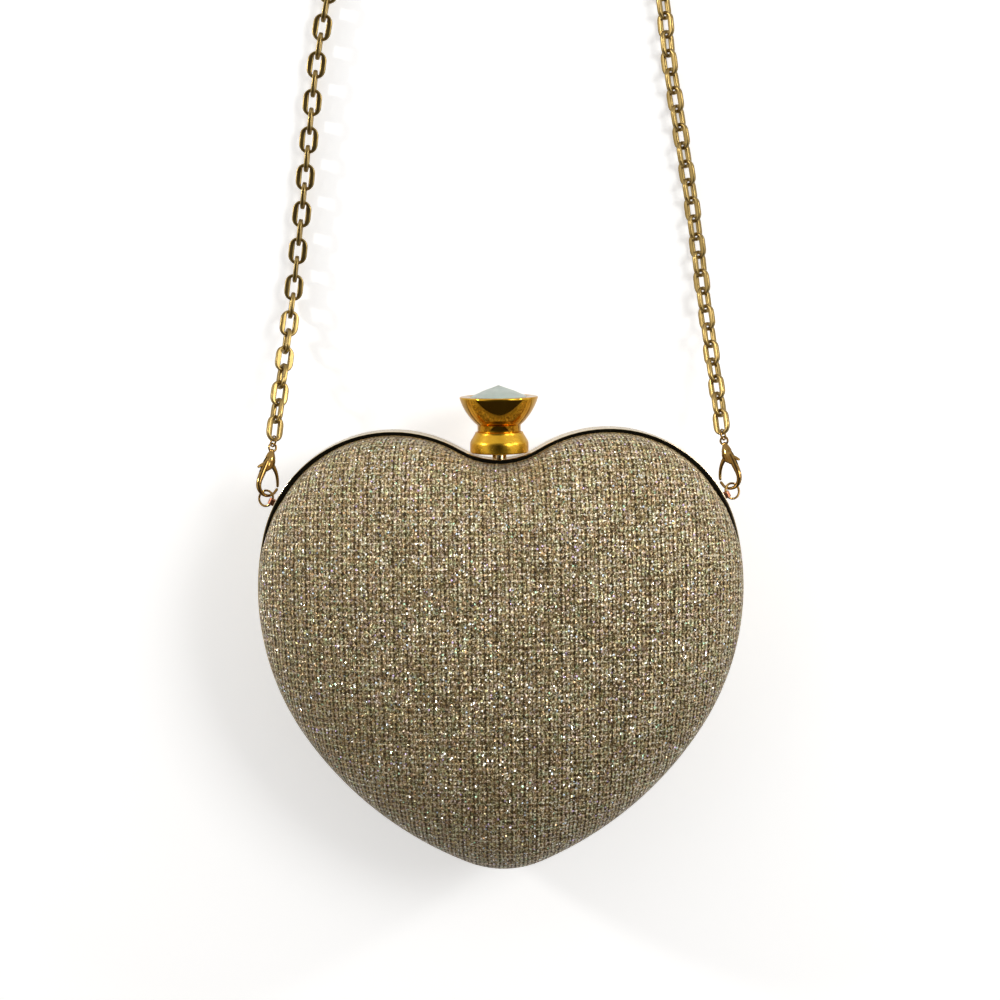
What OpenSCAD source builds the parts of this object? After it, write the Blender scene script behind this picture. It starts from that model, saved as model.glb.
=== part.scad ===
// Heart shaped evening purse: two domed halves hinged at the tip, a press
// knob latch in the dip and a chain strap on two spring clasps.
// It lies on its back half. +Z is up out of the front, +Y runs to the knob.

/* [Heart outline] */
// Radius of the dip between the lobes
dip_r = 28; // [26:1:30]
// Radius of each lobe
lobe_r = 49; // [47:1:51]
// Radius of each widest side
side_r = 98; // [92:1:104]
// Radius of the tip
tip_r = 36; // [33:1:39]
// Distance from the middle of the domes up to the dip
dip_y = 73; // [71:1:76]

/* [Halves] */
// Height of the parting plane over the table, half the purse's thickness
part_z = 30; // [27:1:34]
// Height of each metal frame from the parting plane
frame_h = 5.2; // [4.8:0.1:6.5]
// Thickness of the frame's outer wall
frame_wall = 1.6; // [1.2:0.1:2]
// Thickness of the frame's flange at the parting plane
flange_t = 1.2; // [1:0.1:1.5]
// Thickness of the frame's inner wall
lip_t = 1; // [0.8:0.1:1.4]
// Height of the frame's inner wall
lip_h = 4; // [3.4:0.1:4.6]
// Thickness of the glitter cloth with its backing
cloth_t = 0.8; // [0.6:0.1:1.2]
// Thickness of the moulded board shell
shell_t = 1.8; // [1.4:0.1:2.4]
// Thickness of the lining
lining_t = 0.5; // [0.4:0.1:0.8]
// Depth of the flat on the back that the purse rests on
rest_cut = 0.4; // [0.3:0.1:0.6]

/* [Hinge] */
// Radius of the hinge barrel
barrel_r = 1.25; // [1.15:0.05:1.4]
// Radius of the hinge pin
pin_r = 0.6; // [0.5:0.05:0.7]
// Length of one knuckle
knuckle_l = 3.6; // [3:0.1:4]
// Running clearance of the hinge pin and of the clasp rivets
running_gap = 0.05; // [0.03:0.01:0.08]

/* [Knob] */
// Radius of the knob's rim
knob_r = 14.5; // [13:0.5:15.5]
// Radius of the knob's neck
neck_r = 8; // [7.5:0.1:8.4]
// Height of the cup over the collar
cup_h = 13.1; // [12:0.1:15]
// Radius of the crystal
crystal_r = 10.4; // [9:0.1:10.8]
// Height of the crystal over the rim
crystal_h = 4.1; // [3.6:0.1:5.4]
// Largest radius of the collar
collar_r = 10.8; // [10.2:0.1:11.4]
// Height of the collar over the dip
collar_h = 9.9; // [9.4:0.1:10.6]
// Radius of the stem
stem_r = 2; // [1.7:0.1:2.2]
// Travel of the knob
press_travel = 2; // [1.5:0.1:2.2]

/* [Strap fittings] */
// Radius of the strap ring to the middle of its wire
ring_r = 2.9; // [2.8:0.05:3.1]
// Radius of the strap ring's wire
ring_wire_r = 0.42; // [0.36:0.02:0.46]
// Distance from the clasp's eye to the middle of its hook
clasp_l = 14.2; // [13.8:0.1:14.6]
// Outer radius of the clasp's hook
hook_r = 4.7; // [4.6:0.05:4.8]
// Thickness of the clasp
clasp_t = 2.8; // [2.6:0.1:3]

/* [Chain] */
// Outer length of a link
link_l = 10.2; // [10:0.1:10.4]
// Outer width of a link
link_w = 7; // [6.8:0.1:7.2]
// Thickness of a link's plate
link_t = 1.5; // [1.3:0.05:1.6]
// Width of a link's long sides
link_side = 2.1; // [2:0.05:2.2]
// Thickness of a link's ends
link_end = 1.4; // [1.35:0.05:1.5]

/* [Hidden] */
$fn = 64;

// Angles of the arcs that make up one side of the heart
dip_turn = 31;
lobe_turn = 108;
side_turn = 46;
flank_turn = 34;
right_angle = 90;
full_turn = 360;
lobe_start = right_angle + dip_turn;
side_start = lobe_start - lobe_turn;
flank_start = side_start - side_turn;
tip_start = flank_start - flank_turn;

// Points along the outline and rings over a dome
dip_steps = 4;
lobe_steps = 10;
side_steps = 5;
flank_steps = 4;
tip_steps = 3;
dome_rings = 6;
frame_fine = 2;
// Share by which a dome's height lines turn round towards its middle
round_share = 0.8;
// Radius that the middle of a dome turns round to
round_r = 80;

// Clearances
seat_gap = 0.05;
part_gap = 0.1;
knuckle_gap = 0.2;
// The domes' long facets lie this much inside the frame's short ones
chord_gap = 0.35;
way_gap = 0.6;
cut = 20;
overrun = 0.5;

// The frame's section
channel_w = cloth_t + shell_t + lining_t + 4 * seat_gap + chord_gap;
frame_w = frame_wall + channel_w + lip_t;
crest_r = frame_wall / 2;
// The domes leave the frames this much below their crest
skirt_gap = 0.2;
skirt_h = frame_h - skirt_gap;
skirt_low = part_gap + flange_t + seat_gap;
cover_in = frame_wall + seat_gap;
shell_in = cover_in + cloth_t + seat_gap;
lining_in = shell_in + shell_t + seat_gap;
dome_h = part_z - skirt_h + rest_cut;

// Outline of the heart's metal rim as tangent arcs
function polar(r, a) = [r * cos(a), r * sin(a)];
dip_c = [0, dip_y + dip_r];
dip_end = dip_c + polar(dip_r, dip_turn - right_angle);
lobe_c = dip_end - polar(lobe_r, lobe_start);
side_c = lobe_c + polar(lobe_r - side_r, side_start);
// The flank's radius is the one that brings it to the tip's arc
flank_r = (side_c.x + side_r * cos(flank_start) - tip_r * cos(tip_start)) / (cos(flank_start) - cos(tip_start));
flank_c = side_c + polar(side_r - flank_r, flank_start);
flank_end = flank_c + polar(flank_r, tip_start);
tip_c = [0, flank_end.y - tip_r * sin(tip_start)];
tip_y = tip_c.y - tip_r;

function arc(c, r, from, turn, steps) =
    [for (k = [0:steps - 1]) c + polar(r, from + turn * k / steps)];
function half_rim(inset, fine) = concat(
    arc(dip_c, dip_r + inset, -right_angle, dip_turn, dip_steps * fine),
    arc(lobe_c, lobe_r - inset, lobe_start, -lobe_turn, lobe_steps * fine),
    arc(side_c, side_r - inset, side_start, -side_turn, side_steps * fine),
    arc(flank_c, flank_r - inset, flank_start, -flank_turn, flank_steps * fine),
    arc(tip_c, tip_r - inset, tip_start, -right_angle - tip_start, tip_steps * fine),
    [[0, tip_y + inset]]);
function rim(inset, fine = 1) =
    let (half = half_rim(inset, fine), last = len(half) - 2)
    concat(half, [for (k = [last:-1:1]) [-half[k].x, half[k].y]]);

// Sweeps a section along the rim. Its x is the distance out from the rim,
// its y the height from the parting plane.
module along_rim(section, fine) {
    rings = [for (q = section) [for (p = rim(-q.x, fine)) [p.x, p.y, q.y]]];
    n = len(rings[0]);
    rows = len(section);
    polyhedron(points = [for (ring = rings) each ring],
        faces = [for (i = [0:rows - 1], j = [0:n - 1])
            let (a = i * n + j, b = i * n + (j + 1) % n, c = (i + 1) % rows * n + (j + 1) % n,
                d = (i + 1) % rows * n + j)
            each [[a, b, c], [a, c, d]]],
        convexity = 6);
}

// Placing of the two halves, which are mirror images at the parting plane
module on_front() {
    translate([0, 0, part_z]) children();
}
module on_back() {
    translate([0, 0, part_z]) mirror([0, 0, 1]) children();
}

// Way through rim and shells for the knob's stem
module stem_way() {
    translate([0, dip_y - cut / 2, 0])
        rotate([-right_angle, 0, 0])
            cylinder(r = stem_r + way_gap, h = cut);
}

// Frames: a channel that grips the shell's edge, with a crest all round
crest_steps = 6;
channel_low = part_gap + flange_t;
frame_section = concat(
    [[-frame_w, part_gap], [0, part_gap]],
    [for (k = [0:crest_steps]) [-crest_r, frame_h - crest_r] + polar(crest_r, 2 * right_angle * k / crest_steps)],
    [[-frame_wall, channel_low], [lip_t - frame_w, channel_low], [lip_t - frame_w, lip_h], [-frame_w, lip_h]]);
hinge_y = tip_y + barrel_r + seat_gap;
knuckles = 5;
hinge_half = knuckles * knuckle_l / 2 + (knuckles - 1) * knuckle_gap / 2;
notch_side = 0.6;
notch_half = hinge_half + notch_side;
notch_h = 2.1;
leaf_inner = frame_w - lip_t;
module hinge_notch() {
    translate([-notch_half, tip_y - overrun, -overrun])
        cube([2 * notch_half, overrun + 2 * barrel_r + seat_gap + knuckle_gap, overrun + notch_h]);
    translate([-notch_half, tip_y - overrun, -overrun])
        cube([2 * notch_half, overrun + leaf_inner, overrun + part_gap + flange_t]);
}
module half_frame() {
    difference() {
        along_rim(frame_section, frame_fine);
        hinge_notch();
        stem_way();
    }
}
module back_frame() {
    color("gold") on_back() half_frame();
}
module front_frame() {
    color("gold") on_front() half_frame();
}

// Domes: a skirt in the channel, then an elliptic rise to the middle
function softened(p, s) =
    let (k = round_share * (1 - s)) s * ((1 - k) * p + k * round_r * p / norm(p));
function dome_ring(inset, h, k) =
    let (a = right_angle * k / dome_rings, s = cos(a))
    [for (p = rim(inset)) let (q = softened(p, s)) [q.x, q.y, skirt_h + h * sin(a)]];
function dome_skin(inset, h, low) = concat(
    [for (p = rim(inset)) [p.x, p.y, low]],
    [for (k = [0:dome_rings - 1]) each dome_ring(inset, h, k)],
    [[0, 0, skirt_h + h]]);
function skin_faces(n, rows, base, flip) = concat(
    [for (r = [0:rows - 2], k = [0:n - 1])
        let (a = base + r * n + k, b = base + r * n + (k + 1) % n, c = b + n, d = a + n)
        each flip ? [[a, b, c], [a, c, d]] : [[c, b, a], [d, c, a]]],
    [for (k = [0:n - 1])
        let (a = base + (rows - 1) * n + k, b = base + (rows - 1) * n + (k + 1) % n, top = base + rows * n)
        flip ? [a, b, top] : [top, b, a]]);
module dome(inset, t, low) {
    h = dome_h + cover_in - inset;
    outer = dome_skin(inset, h, low);
    inner = dome_skin(inset + t, h - t, low);
    n = len(rim(inset));
    rows = dome_rings + 1;
    second = len(outer);
    edge = [for (k = [0:n - 1]) let (j = (k + 1) % n)
        each [[k, j, second + j], [k, second + j, second + k]]];
    polyhedron(points = concat(outer, inner),
        faces = concat(skin_faces(n, rows, 0, false), skin_faces(n, rows, second, true), edge),
        convexity = 6);
}
module half_cover() {
    difference() {
        dome(cover_in, cloth_t, skirt_low);
        stem_way();
        translate([-cut, -cut, part_z]) cube([2 * cut, 2 * cut, cut]);
    }
}
module half_shell() {
    difference() {
        dome(shell_in, shell_t, skirt_low);
        stem_way();
    }
}
module half_lining() {
    difference() {
        dome(lining_in, lining_t, skirt_low);
        stem_way();
    }
}
module back_cover() {
    color("tan") on_back() half_cover();
}
module front_cover() {
    color("tan") on_front() half_cover();
}
module back_shell() {
    color("dimgray") on_back() half_shell();
}
module front_shell() {
    color("dimgray") on_front() half_shell();
}
module back_lining() {
    color("khaki") on_back() half_lining();
}
module front_lining() {
    color("khaki") on_front() half_lining();
}

// Hinge at the tip: five knuckles, three on the back leaf and two on the front
leaf_t = flange_t - seat_gap;
leaf_half = hinge_half;
function knuckle_x(k) = -hinge_half + k * (knuckle_l + knuckle_gap);
module knuckle(k, bore_r) {
    translate([knuckle_x(k), hinge_y, 0])
        rotate([0, right_angle, 0])
            difference() {
                union() {
                    cylinder(r = barrel_r, h = knuckle_l);
                    translate([-part_gap - leaf_t, 0, 0])
                        cube([leaf_t, barrel_r + 2 * knuckle_gap, knuckle_l]);
                }
                translate([0, 0, -overrun]) cylinder(r = bore_r, h = knuckle_l + 2 * overrun);
            }
}
module hinge_leaf(first, bore_r) {
    for (k = [first:2:knuckles - 1]) knuckle(k, bore_r);
    translate([-leaf_half, hinge_y + barrel_r + knuckle_gap, part_gap])
        cube([2 * leaf_half, tip_y + leaf_inner - seat_gap - hinge_y - barrel_r - knuckle_gap, leaf_t]);
}
module back_hinge() {
    color("goldenrod") on_back() hinge_leaf(0, pin_r);
}
module front_hinge() {
    color("goldenrod") on_front() hinge_leaf(1, pin_r + running_gap);
}
module hinge_pin() {
    color("silver")
        translate([-hinge_half, hinge_y, part_z])
            rotate([0, right_angle, 0]) cylinder(r = pin_r, h = 2 * hinge_half);
}

// Knob latch, turned about an axis along +Y through the dip
module on_knob_axis() {
    translate([0, dip_y, part_z]) rotate([-right_angle, 0, 0]) children();
}
// Collar: a foot that narrows to the dip, a band, and a shoulder to the neck.
// Its floor leaves room for the spring under the neck when the knob is pressed.
neck_reach = 2.2;
neck_low = collar_h - neck_reach;
spring_room = 3.1;
collar_floor = neck_low - press_travel - spring_room;
foot_r = 9.4;
foot_h = 2.6;
band_low = 4.6;
band_high = 7;
shoulder_r = 8.9;
shoulder_drop = 0.5;
dip_sides = 180;
module knob_collar() {
    bore_r = neck_r + running_gap;
    way_r = stem_r + running_gap;
    color("gold")
        intersection() {
            on_knob_axis()
                rotate_extrude()
                    polygon([[way_r, 0], [foot_r, 0], [foot_r, foot_h], [collar_r, band_low], [collar_r, band_high],
                        [shoulder_r, collar_h - shoulder_drop], [shoulder_r, collar_h], [bore_r, collar_h],
                        [bore_r, collar_floor], [way_r, collar_floor]]);
            translate([dip_c.x, dip_c.y, part_z - cut])
                cylinder(r = dip_r - seat_gap, h = 2 * cut, $fn = dip_sides);
        }
}

pocket_h = 3;
pocket_r = 5.2;
cup_bore_h = 7;
neck_h = 2.5;
bowl_r = 22;
bowl_steps = 7;
lip_round = 0.5;
seat_depth = 2.2;
seat_edge = 0.3;
// Arc of radius r from p to q, bulging to the right of the way from p to q
function bow(p, q, r, steps) =
    let (chord = norm(q - p), along = (q - p) / chord, side = [along.y, -along.x])
    let (c = (p + q) / 2 - side * sqrt(r * r - chord * chord / 4))
    let (from = atan2(p.y - c.y, p.x - c.x), to = atan2(q.y - c.y, q.x - c.x))
    [for (k = [0:steps]) c + polar(r, from + (to - from) * k / steps)];
module knob_cup() {
    rim_h = collar_h + cup_h;
    seat_r = crystal_r + seat_gap;
    color("gold")
        on_knob_axis()
            rotate_extrude()
                polygon(concat(
                    [[pocket_r, neck_low], [neck_r, neck_low]],
                    bow([neck_r, collar_h + neck_h], [knob_r, rim_h - lip_round], bowl_r, bowl_steps),
                    [[knob_r - lip_round, rim_h], [seat_r + seat_edge, rim_h], [seat_r, rim_h - seat_edge],
                        [seat_r, rim_h - seat_depth], [0, rim_h - seat_depth],
                        [0, neck_low + cup_bore_h], [stem_r, neck_low + cup_bore_h],
                        [stem_r, neck_low + pocket_h], [pocket_r, neck_low + pocket_h]]));
}
crystal_sides = 12;
girdle_h = 2;
module knob_crystal() {
    color("lightblue")
        on_knob_axis()
            translate([0, 0, collar_h + cup_h - girdle_h]) {
                cylinder(r = crystal_r, h = girdle_h, $fn = crystal_sides);
                translate([0, 0, girdle_h]) cylinder(r1 = crystal_r, r2 = 0, h = crystal_h, $fn = crystal_sides);
            }
}
// The stem's inner end carries the hook
hook_plate_t = 1.2;
hook_room = 5.5;
hook_back = -frame_w - hook_room;
thread_r = 1.4;
thread_l = 3.6;
stem_end = hook_back - thread_l;
module knob_stem() {
    color("silver")
        on_knob_axis() {
            translate([0, 0, hook_back]) cylinder(r = stem_r, h = neck_low + cup_bore_h - seat_gap - hook_back);
            translate([0, 0, stem_end]) cylinder(r = thread_r, h = hook_back - stem_end);
        }
}
// Catch: a ledge on the front frame, and a hook on the stem that stands over it
catch_w = 10;
catch_t = 1.2;
ledge_low = 3;
ledge_t = 1;
ledge_l = 2.4;
ledge_out = frame_w + catch_t + ledge_l;
tooth_gap = 0.3;
tooth_h = 1.2;
tooth_edge = 0.4;
hook_w = 8;
module catch_plate() {
    color("silver")
        on_front()
            difference() {
                translate([-catch_w / 2, dip_y - ledge_out, 0]) {
                    translate([0, ledge_out - frame_w - catch_t - seat_gap, part_gap])
                        cube([catch_w, catch_t, ledge_low + ledge_t - part_gap]);
                    translate([0, 0, ledge_low])
                        cube([catch_w, ledge_out - frame_w - seat_gap, ledge_t]);
                }
                stem_way();
            }
}
module latch_hook() {
    tooth_low = ledge_low + ledge_t + tooth_gap;
    back_y = dip_y + hook_back - hook_plate_t;
    tooth_y = dip_y - ledge_out - tooth_gap;
    color("silver")
        on_front()
            difference() {
                union() {
                    translate([-hook_w / 2, back_y, -hook_w / 2])
                        cube([hook_w, hook_plate_t, hook_w / 2 + tooth_low + tooth_h]);
                    translate([-hook_w / 2, back_y, 0])
                        rotate([right_angle, 0, right_angle])
                            linear_extrude(hook_w)
                                polygon([[0, tooth_low], [tooth_y - back_y, tooth_low],
                                    [tooth_y - back_y, tooth_low + tooth_edge],
                                    [hook_plate_t, tooth_low + tooth_h], [0, tooth_low + tooth_h]]);
                }
                translate([0, back_y - overrun, 0])
                    rotate([-right_angle, 0, 0]) cylinder(r = thread_r, h = hook_plate_t + 2 * overrun);
            }
}
nut_r = 2.9;
nut_h = 1.8;
nut_sides = 6;
module stem_nut() {
    color("silver")
        translate([0, dip_y + hook_back - hook_plate_t - seat_gap, part_z])
            rotate([right_angle, 0, 0])
                difference() {
                    cylinder(r = nut_r, h = nut_h, $fn = nut_sides);
                    translate([0, 0, -overrun]) cylinder(r = thread_r, h = nut_h + 2 * overrun);
                }
}
// Return spring between the collar's floor and the cup's pocket
spring_r = 3.9;
spring_wire_r = 0.35;
spring_turns = 4;
spring_ring_steps = 10;
spring_sides = 6;
function spring_point(s, low, high) =
    let (a = full_turn * s * spring_turns) [spring_r * cos(a), spring_r * sin(a), low + (high - low) * s];
module knob_spring() {
    low = collar_floor + spring_wire_r + seat_gap;
    high = neck_low + pocket_h - spring_wire_r - seat_gap;
    rows = spring_turns * spring_ring_steps;
    points = [for (k = [0:rows], j = [0:spring_sides - 1])
        let (p = spring_point(k / rows, low, high), out = [p.x, p.y, 0] / spring_r, b = full_turn * j / spring_sides)
        p + spring_wire_r * (cos(b) * out + sin(b) * [0, 0, 1])];
    sides = [for (k = [0:rows - 1], j = [0:spring_sides - 1])
        let (a = k * spring_sides + j, b = k * spring_sides + (j + 1) % spring_sides)
        each [[a, b, b + spring_sides], [a, b + spring_sides, a + spring_sides]]];
    ends = concat([for (j = [1:spring_sides - 2]) [0, j + 1, j]],
        [for (j = [1:spring_sides - 2])
            [rows * spring_sides, rows * spring_sides + j, rows * spring_sides + j + 1]]);
    color("silver") on_knob_axis() polyhedron(points = points, faces = concat(sides, ends), convexity = 8);
}

// Strap rings in tube lugs on the back frame
lug_angle = 27;
lug_tube_r = 1.25;
lug_bore_r = 0.78;
lug_l = 2.4;
lug_h = -2.6;
lug_stand = 0.25;
lug_out = lug_tube_r + lug_stand;
ring_tilt = 25;
lug_at = [lobe_c.x + lobe_r * cos(lug_angle), lobe_c.y + lobe_r * sin(lug_angle), part_z + lug_h];
module at_lug() {
    translate(lug_at) rotate(lug_angle) children();
}
module lug() {
    color("goldenrod")
        at_lug()
            difference() {
                union() {
                    translate([lug_out, lug_l / 2, 0]) rotate([right_angle, 0, 0]) cylinder(r = lug_tube_r, h = lug_l);
                    translate([seat_gap, -lug_l / 2, -lug_tube_r]) cube([lug_out, lug_l, 2 * lug_tube_r]);
                }
                translate([lug_out, lug_l, 0]) rotate([right_angle, 0, 0]) cylinder(r = lug_bore_r, h = 2 * lug_l);
            }
}
module right_lug() {
    lug();
}
module left_lug() {
    mirror([1, 0, 0]) lug();
}
wire_sides = 24;
module wire_ring(r, wire_r) {
    rotate_extrude() translate([r, 0]) circle(r = wire_r, $fn = wire_sides);
}
ring_slack = 0.13;
module strap_ring() {
    color("gold")
        at_lug()
            translate([lug_out - ring_slack, 0, 0])
                rotate([0, ring_tilt, 0])
                    translate([ring_r, 0, 0]) wire_ring(ring_r, ring_wire_r);
}
module right_ring() {
    strap_ring();
}
module left_ring() {
    mirror([1, 0, 0]) strap_ring();
}

// Spring clasp, drawn with its eye at the origin and its hook along +X
eye_r = 1.9;
eye_hole_r = 1.05;
eye_t = 1.8;
hook_end_t = 1.5;
mouth_l = 5.6;
mouth_out = 0.2;
mouth_r = 3.2;
mouth_neck_r = 0.9;
mouth_y = -0.4;
pivot_back = 8.4;
pivot_y = 0.6;
pivot = [clasp_l - pivot_back, pivot_y];
rivet_r = 0.5;
lever_t = 1;
slot_t = 1.3;
slot_l = 5.7;
slot_back = 10.2;
gate_back = 5;
gate_y = -1;
gate_gap = 0.15;
boss_r = 1.25;
// The lever's arm closes the gate, its tab stands out for the thumb
arm_l = 9.4;
arm_end_r = 0.55;
arm_turn = -30.5;
tab_l = 4.6;
tab_end_r = 0.6;
tab_turn = 62;
// Outline round two circles on the X axis, tangent to both
module tapered(r1, r2, l) {
    side = acos((r1 - r2) / l);
    circle(r = r1);
    translate([l, 0]) circle(r = r2);
    polygon([polar(r1, side), polar(r1, -side), [l, 0] + polar(r2, -side), [l, 0] + polar(r2, side)]);
}
module clasp_mouth() {
    translate([clasp_l + mouth_out - mouth_l, mouth_y]) tapered(mouth_neck_r, mouth_r, mouth_l);
}
// Share of the clasp's length at which it has its full thickness
shoulder_share = 0.33;
module clasp_side() {
    far = clasp_l + hook_r + overrun;
    near = -eye_r - overrun;
    shoulder = clasp_l * shoulder_share;
    polygon([[near, -eye_t / 2], [shoulder, -clasp_t / 2], [clasp_l, -clasp_t / 2], [far, -hook_end_t / 2],
        [far, hook_end_t / 2], [clasp_l, clasp_t / 2], [shoulder, clasp_t / 2], [near, eye_t / 2]]);
}
module through_pivot(r) {
    translate([pivot.x, pivot.y, -clasp_t]) cylinder(r = r, h = 2 * clasp_t);
}
// The gate's end is round about the pivot, so that the arm swings clear
module clasp_gate() {
    intersection() {
        translate([clasp_l - gate_back, gate_y - cut, -clasp_t]) cube([cut, cut, 2 * clasp_t]);
        through_pivot(arm_l + arm_end_r + gate_gap);
    }
}
module clasp() {
    difference() {
        intersection() {
            translate([0, 0, -clasp_t]) linear_extrude(2 * clasp_t) tapered(eye_r, hook_r, clasp_l);
            translate([0, cut / 2, 0]) rotate([right_angle, 0, 0]) linear_extrude(cut) clasp_side();
        }
        translate([0, 0, -clasp_t]) linear_extrude(2 * clasp_t) clasp_mouth();
        clasp_gate();
        translate([clasp_l - slot_back, -cut / 2, -slot_t / 2]) cube([slot_l, cut, slot_t]);
        translate([0, 0, -clasp_t]) cylinder(r = eye_hole_r, h = 2 * clasp_t);
        through_pivot(rivet_r);
    }
}
module clasp_lever() {
    translate([pivot.x, pivot.y, -lever_t / 2])
        difference() {
            union() {
                linear_extrude(lever_t) rotate(arm_turn) tapered(boss_r, arm_end_r, arm_l);
                linear_extrude(lever_t) rotate(tab_turn) tapered(boss_r, tab_end_r, tab_l);
            }
            translate([0, 0, -lever_t]) cylinder(r = rivet_r + running_gap, h = 3 * lever_t);
        }
}
module clasp_rivet() {
    translate([pivot.x, pivot.y, gate_gap - clasp_t / 2]) cylinder(r = rivet_r, h = clasp_t - 2 * gate_gap);
}
// Where the right clasp lies: its eye from the lug, its heading, slope and roll
eye_off = [1.1, 20.3, -5.5];
eye_at = lug_at + eye_off;
clasp_heading = -82;
clasp_slope = 14;
clasp_roll = 32;
clasp_way = [cos(clasp_slope) * cos(clasp_heading), cos(clasp_slope) * sin(clasp_heading), sin(clasp_slope)];
module at_clasp() {
    translate(eye_at) rotate([clasp_roll, -clasp_slope, clasp_heading]) children();
}
module right_clasp() {
    color("goldenrod") at_clasp() clasp();
}
module right_lever() {
    color("gold") at_clasp() clasp_lever();
}
module right_rivet() {
    color("silver") at_clasp() clasp_rivet();
}
module left_clasp() {
    mirror([1, 0, 0]) right_clasp();
}
module left_lever() {
    mirror([1, 0, 0]) right_lever();
}
module left_rivet() {
    mirror([1, 0, 0]) right_rivet();
}
// Small ring between the clasp's eye and the first link
end_ring_r = 2;
end_ring_back = 2.35;
end_wire_r = 0.35;
module right_end_ring() {
    color("gold")
        at_clasp()
            translate([-end_ring_back, 0, 0]) rotate([right_angle, 0, 0]) wire_ring(end_ring_r, end_wire_r);
}
module left_end_ring() {
    mirror([1, 0, 0]) right_end_ring();
}

// Route of the strap chain. The first and the last list are the stretches
// from the clasps to the coil, the coil between them is a double spiral.
left_route = [[-83.9, 81.3, 21], [-83.4, 86, 19.2], [-82.2, 96, 14.8], [-80.6, 108, 10], [-79, 120, 6.5],
    [-77.2, 132, 4.4], [-75, 148, 3.6], [-71.8, 172, 3.6], [-67.4, 208, 3.6], [-65.4, 221, 3.6],
    [-62.8, 235, 3.6], [-59.8, 248, 3.6], [-57.6, 264, 3.6], [-56.2, 290, 3.6], [-56, 318, 3.6]];
right_route = [[14, 280.2, 3.6], [20, 280, 3.6], [26, 279.6, 3.6], [32, 278.3, 3.6], [38, 276.2, 3.6],
    [43.3, 273.2, 3.6], [48.3, 269.6, 3.6], [52.7, 265.4, 3.5], [56.5, 260.6, 3.5], [59.5, 255.3, 3.4],
    [61.8, 249.6, 3.3], [63.3, 243.6, 3.2], [64.4, 236, 3.2], [66, 219, 3.2], [70.2, 193.5, 3.2],
    [74.4, 168, 3.2], [77, 149, 3.4], [78.6, 135, 4.2], [80.2, 122, 6.4], [81.6, 108, 10], [82.8, 96, 14.8],
    [83.5, 86, 19.2], [83.9, 81.3, 21]];
coil_at = [0, 332, 3.6];
coil_r = 32;
coil_step = 16;
coil_left_turns = 1.5;
coil_right_turns = 1.25;
coil_seg = 12;

function coil_arm(a) = let (r = coil_r + coil_step * a / full_turn) [r * cos(a), r * sin(a), 0];
coil_route = concat(
    [for (a = [full_turn * coil_left_turns:-coil_seg:coil_seg]) coil_at + coil_arm(a)],
    [for (a = [0:-coil_seg:-full_turn / 2]) coil_at + [coil_r / 2 + coil_r / 2 * cos(a), coil_r / 2 * sin(a), 0]],
    [for (a = [coil_seg:coil_seg:full_turn / 2])
        coil_at + [-coil_r / 2 + coil_r / 2 * cos(a), coil_r / 2 * sin(a), 0]],
    [for (a = [coil_seg:coil_seg:full_turn * coil_right_turns]) coil_at - coil_arm(a)]);
// The strands' ends go with the end rings, and the rest of them follows in part
chain_back = 3.85;
chain_end = eye_at - chain_back * clasp_way;
function followed(p, end, to) = [for (k = [0:len(p) - 1]) p[k] + (to - p[end]) * (1 - abs(k - end) / (len(p) - 1))];
route = concat(
    followed(left_route, 0, [-chain_end.x, chain_end.y, chain_end.z]), coil_route,
    followed(right_route, len(right_route) - 1, chain_end));
function run_lengths(p, k = 0, sum = 0) =
    k >= len(p) ? [] : concat([sum], run_lengths(p, k + 1, k + 1 < len(p) ? sum + norm(p[k + 1] - p[k]) : sum));
lengths = run_lengths(route);
tables = [for (axis = [0:2]) [for (k = [0:len(route) - 1]) [lengths[k], route[k][axis]]]];
function on_route(s) = [for (t = tables) lookup(s, t)];
// The strands hang taut from the clasps, the coil lies slack
hole_l = link_l - 2 * link_end;
pitch_slack = 0.5;
coil_slack = 1.0;
total = lengths[len(route) - 1];
coil_from = lengths[len(left_route) - 1];
coil_to = lengths[len(left_route) + len(coil_route)];
left_links = round(coil_from / (hole_l - pitch_slack));
right_links = round((total - coil_to) / (hole_l - pitch_slack));
// An odd number in all, so that both end links lie like their clasps
loose_links = round((coil_to - coil_from) / (hole_l - coil_slack));
coil_links = loose_links + (loose_links + left_links + right_links + 1) % 2;

// One flat link, with a hole whose corners are rounded
hole_round = 0.6;
corner_gap = 0.01;
end_steps = 3;
corner_steps = 1;
function rounded(l, w, r, steps) =
    [for (corner = [[1, 1], [-1, 1], [-1, -1], [1, -1]], k = [0:steps])
        let (turn = corner.x * corner.y > 0 ? k / steps : 1 - k / steps,
            way = [cos(right_angle * turn), sin(right_angle * turn)])
        [corner.x * (l / 2 - r + r * way.x), corner.y * (w / 2 - r + r * way.y)]];
module chain_link() {
    outer = rounded(link_l, link_w, link_w / 2 - corner_gap, end_steps);
    inner = rounded(hole_l, link_w - 2 * link_side, hole_round, corner_steps);
    linear_extrude(link_t, center = true)
        polygon(points = concat(outer, inner),
            paths = [[for (k = [0:len(outer) - 1]) k], [for (k = [0:len(inner) - 1]) len(outer) + k]]);
}
// The links turn on by 90 degrees each. The chain leaves the left clasp at a
// twist, lies square along its strand and twists on to the right one.
twist = 45;
clasp_twist_l = 70;
coil_twist_l = 120;
twist_table = [[0, 1], [clasp_twist_l, 0], [coil_from, 0], [coil_from + coil_twist_l, 1]];
module links(from, to, count, first) {
    pitch = (to - from) / count;
    for (k = [0:count - 1]) {
        s = from + (k + 0.5) * pitch;
        p = on_route(s);
        way = on_route(s + pitch / 2) - on_route(s - pitch / 2);
        roll = ((k + first) % 2) * right_angle + twist * lookup(s, twist_table);
        translate(p)
            rotate([roll, -atan2(way.z, norm([way.x, way.y])), atan2(way.y, way.x)])
                chain_link();
    }
}
module chain_left() {
    color("gold") links(0, coil_from, left_links, 0);
}
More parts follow.
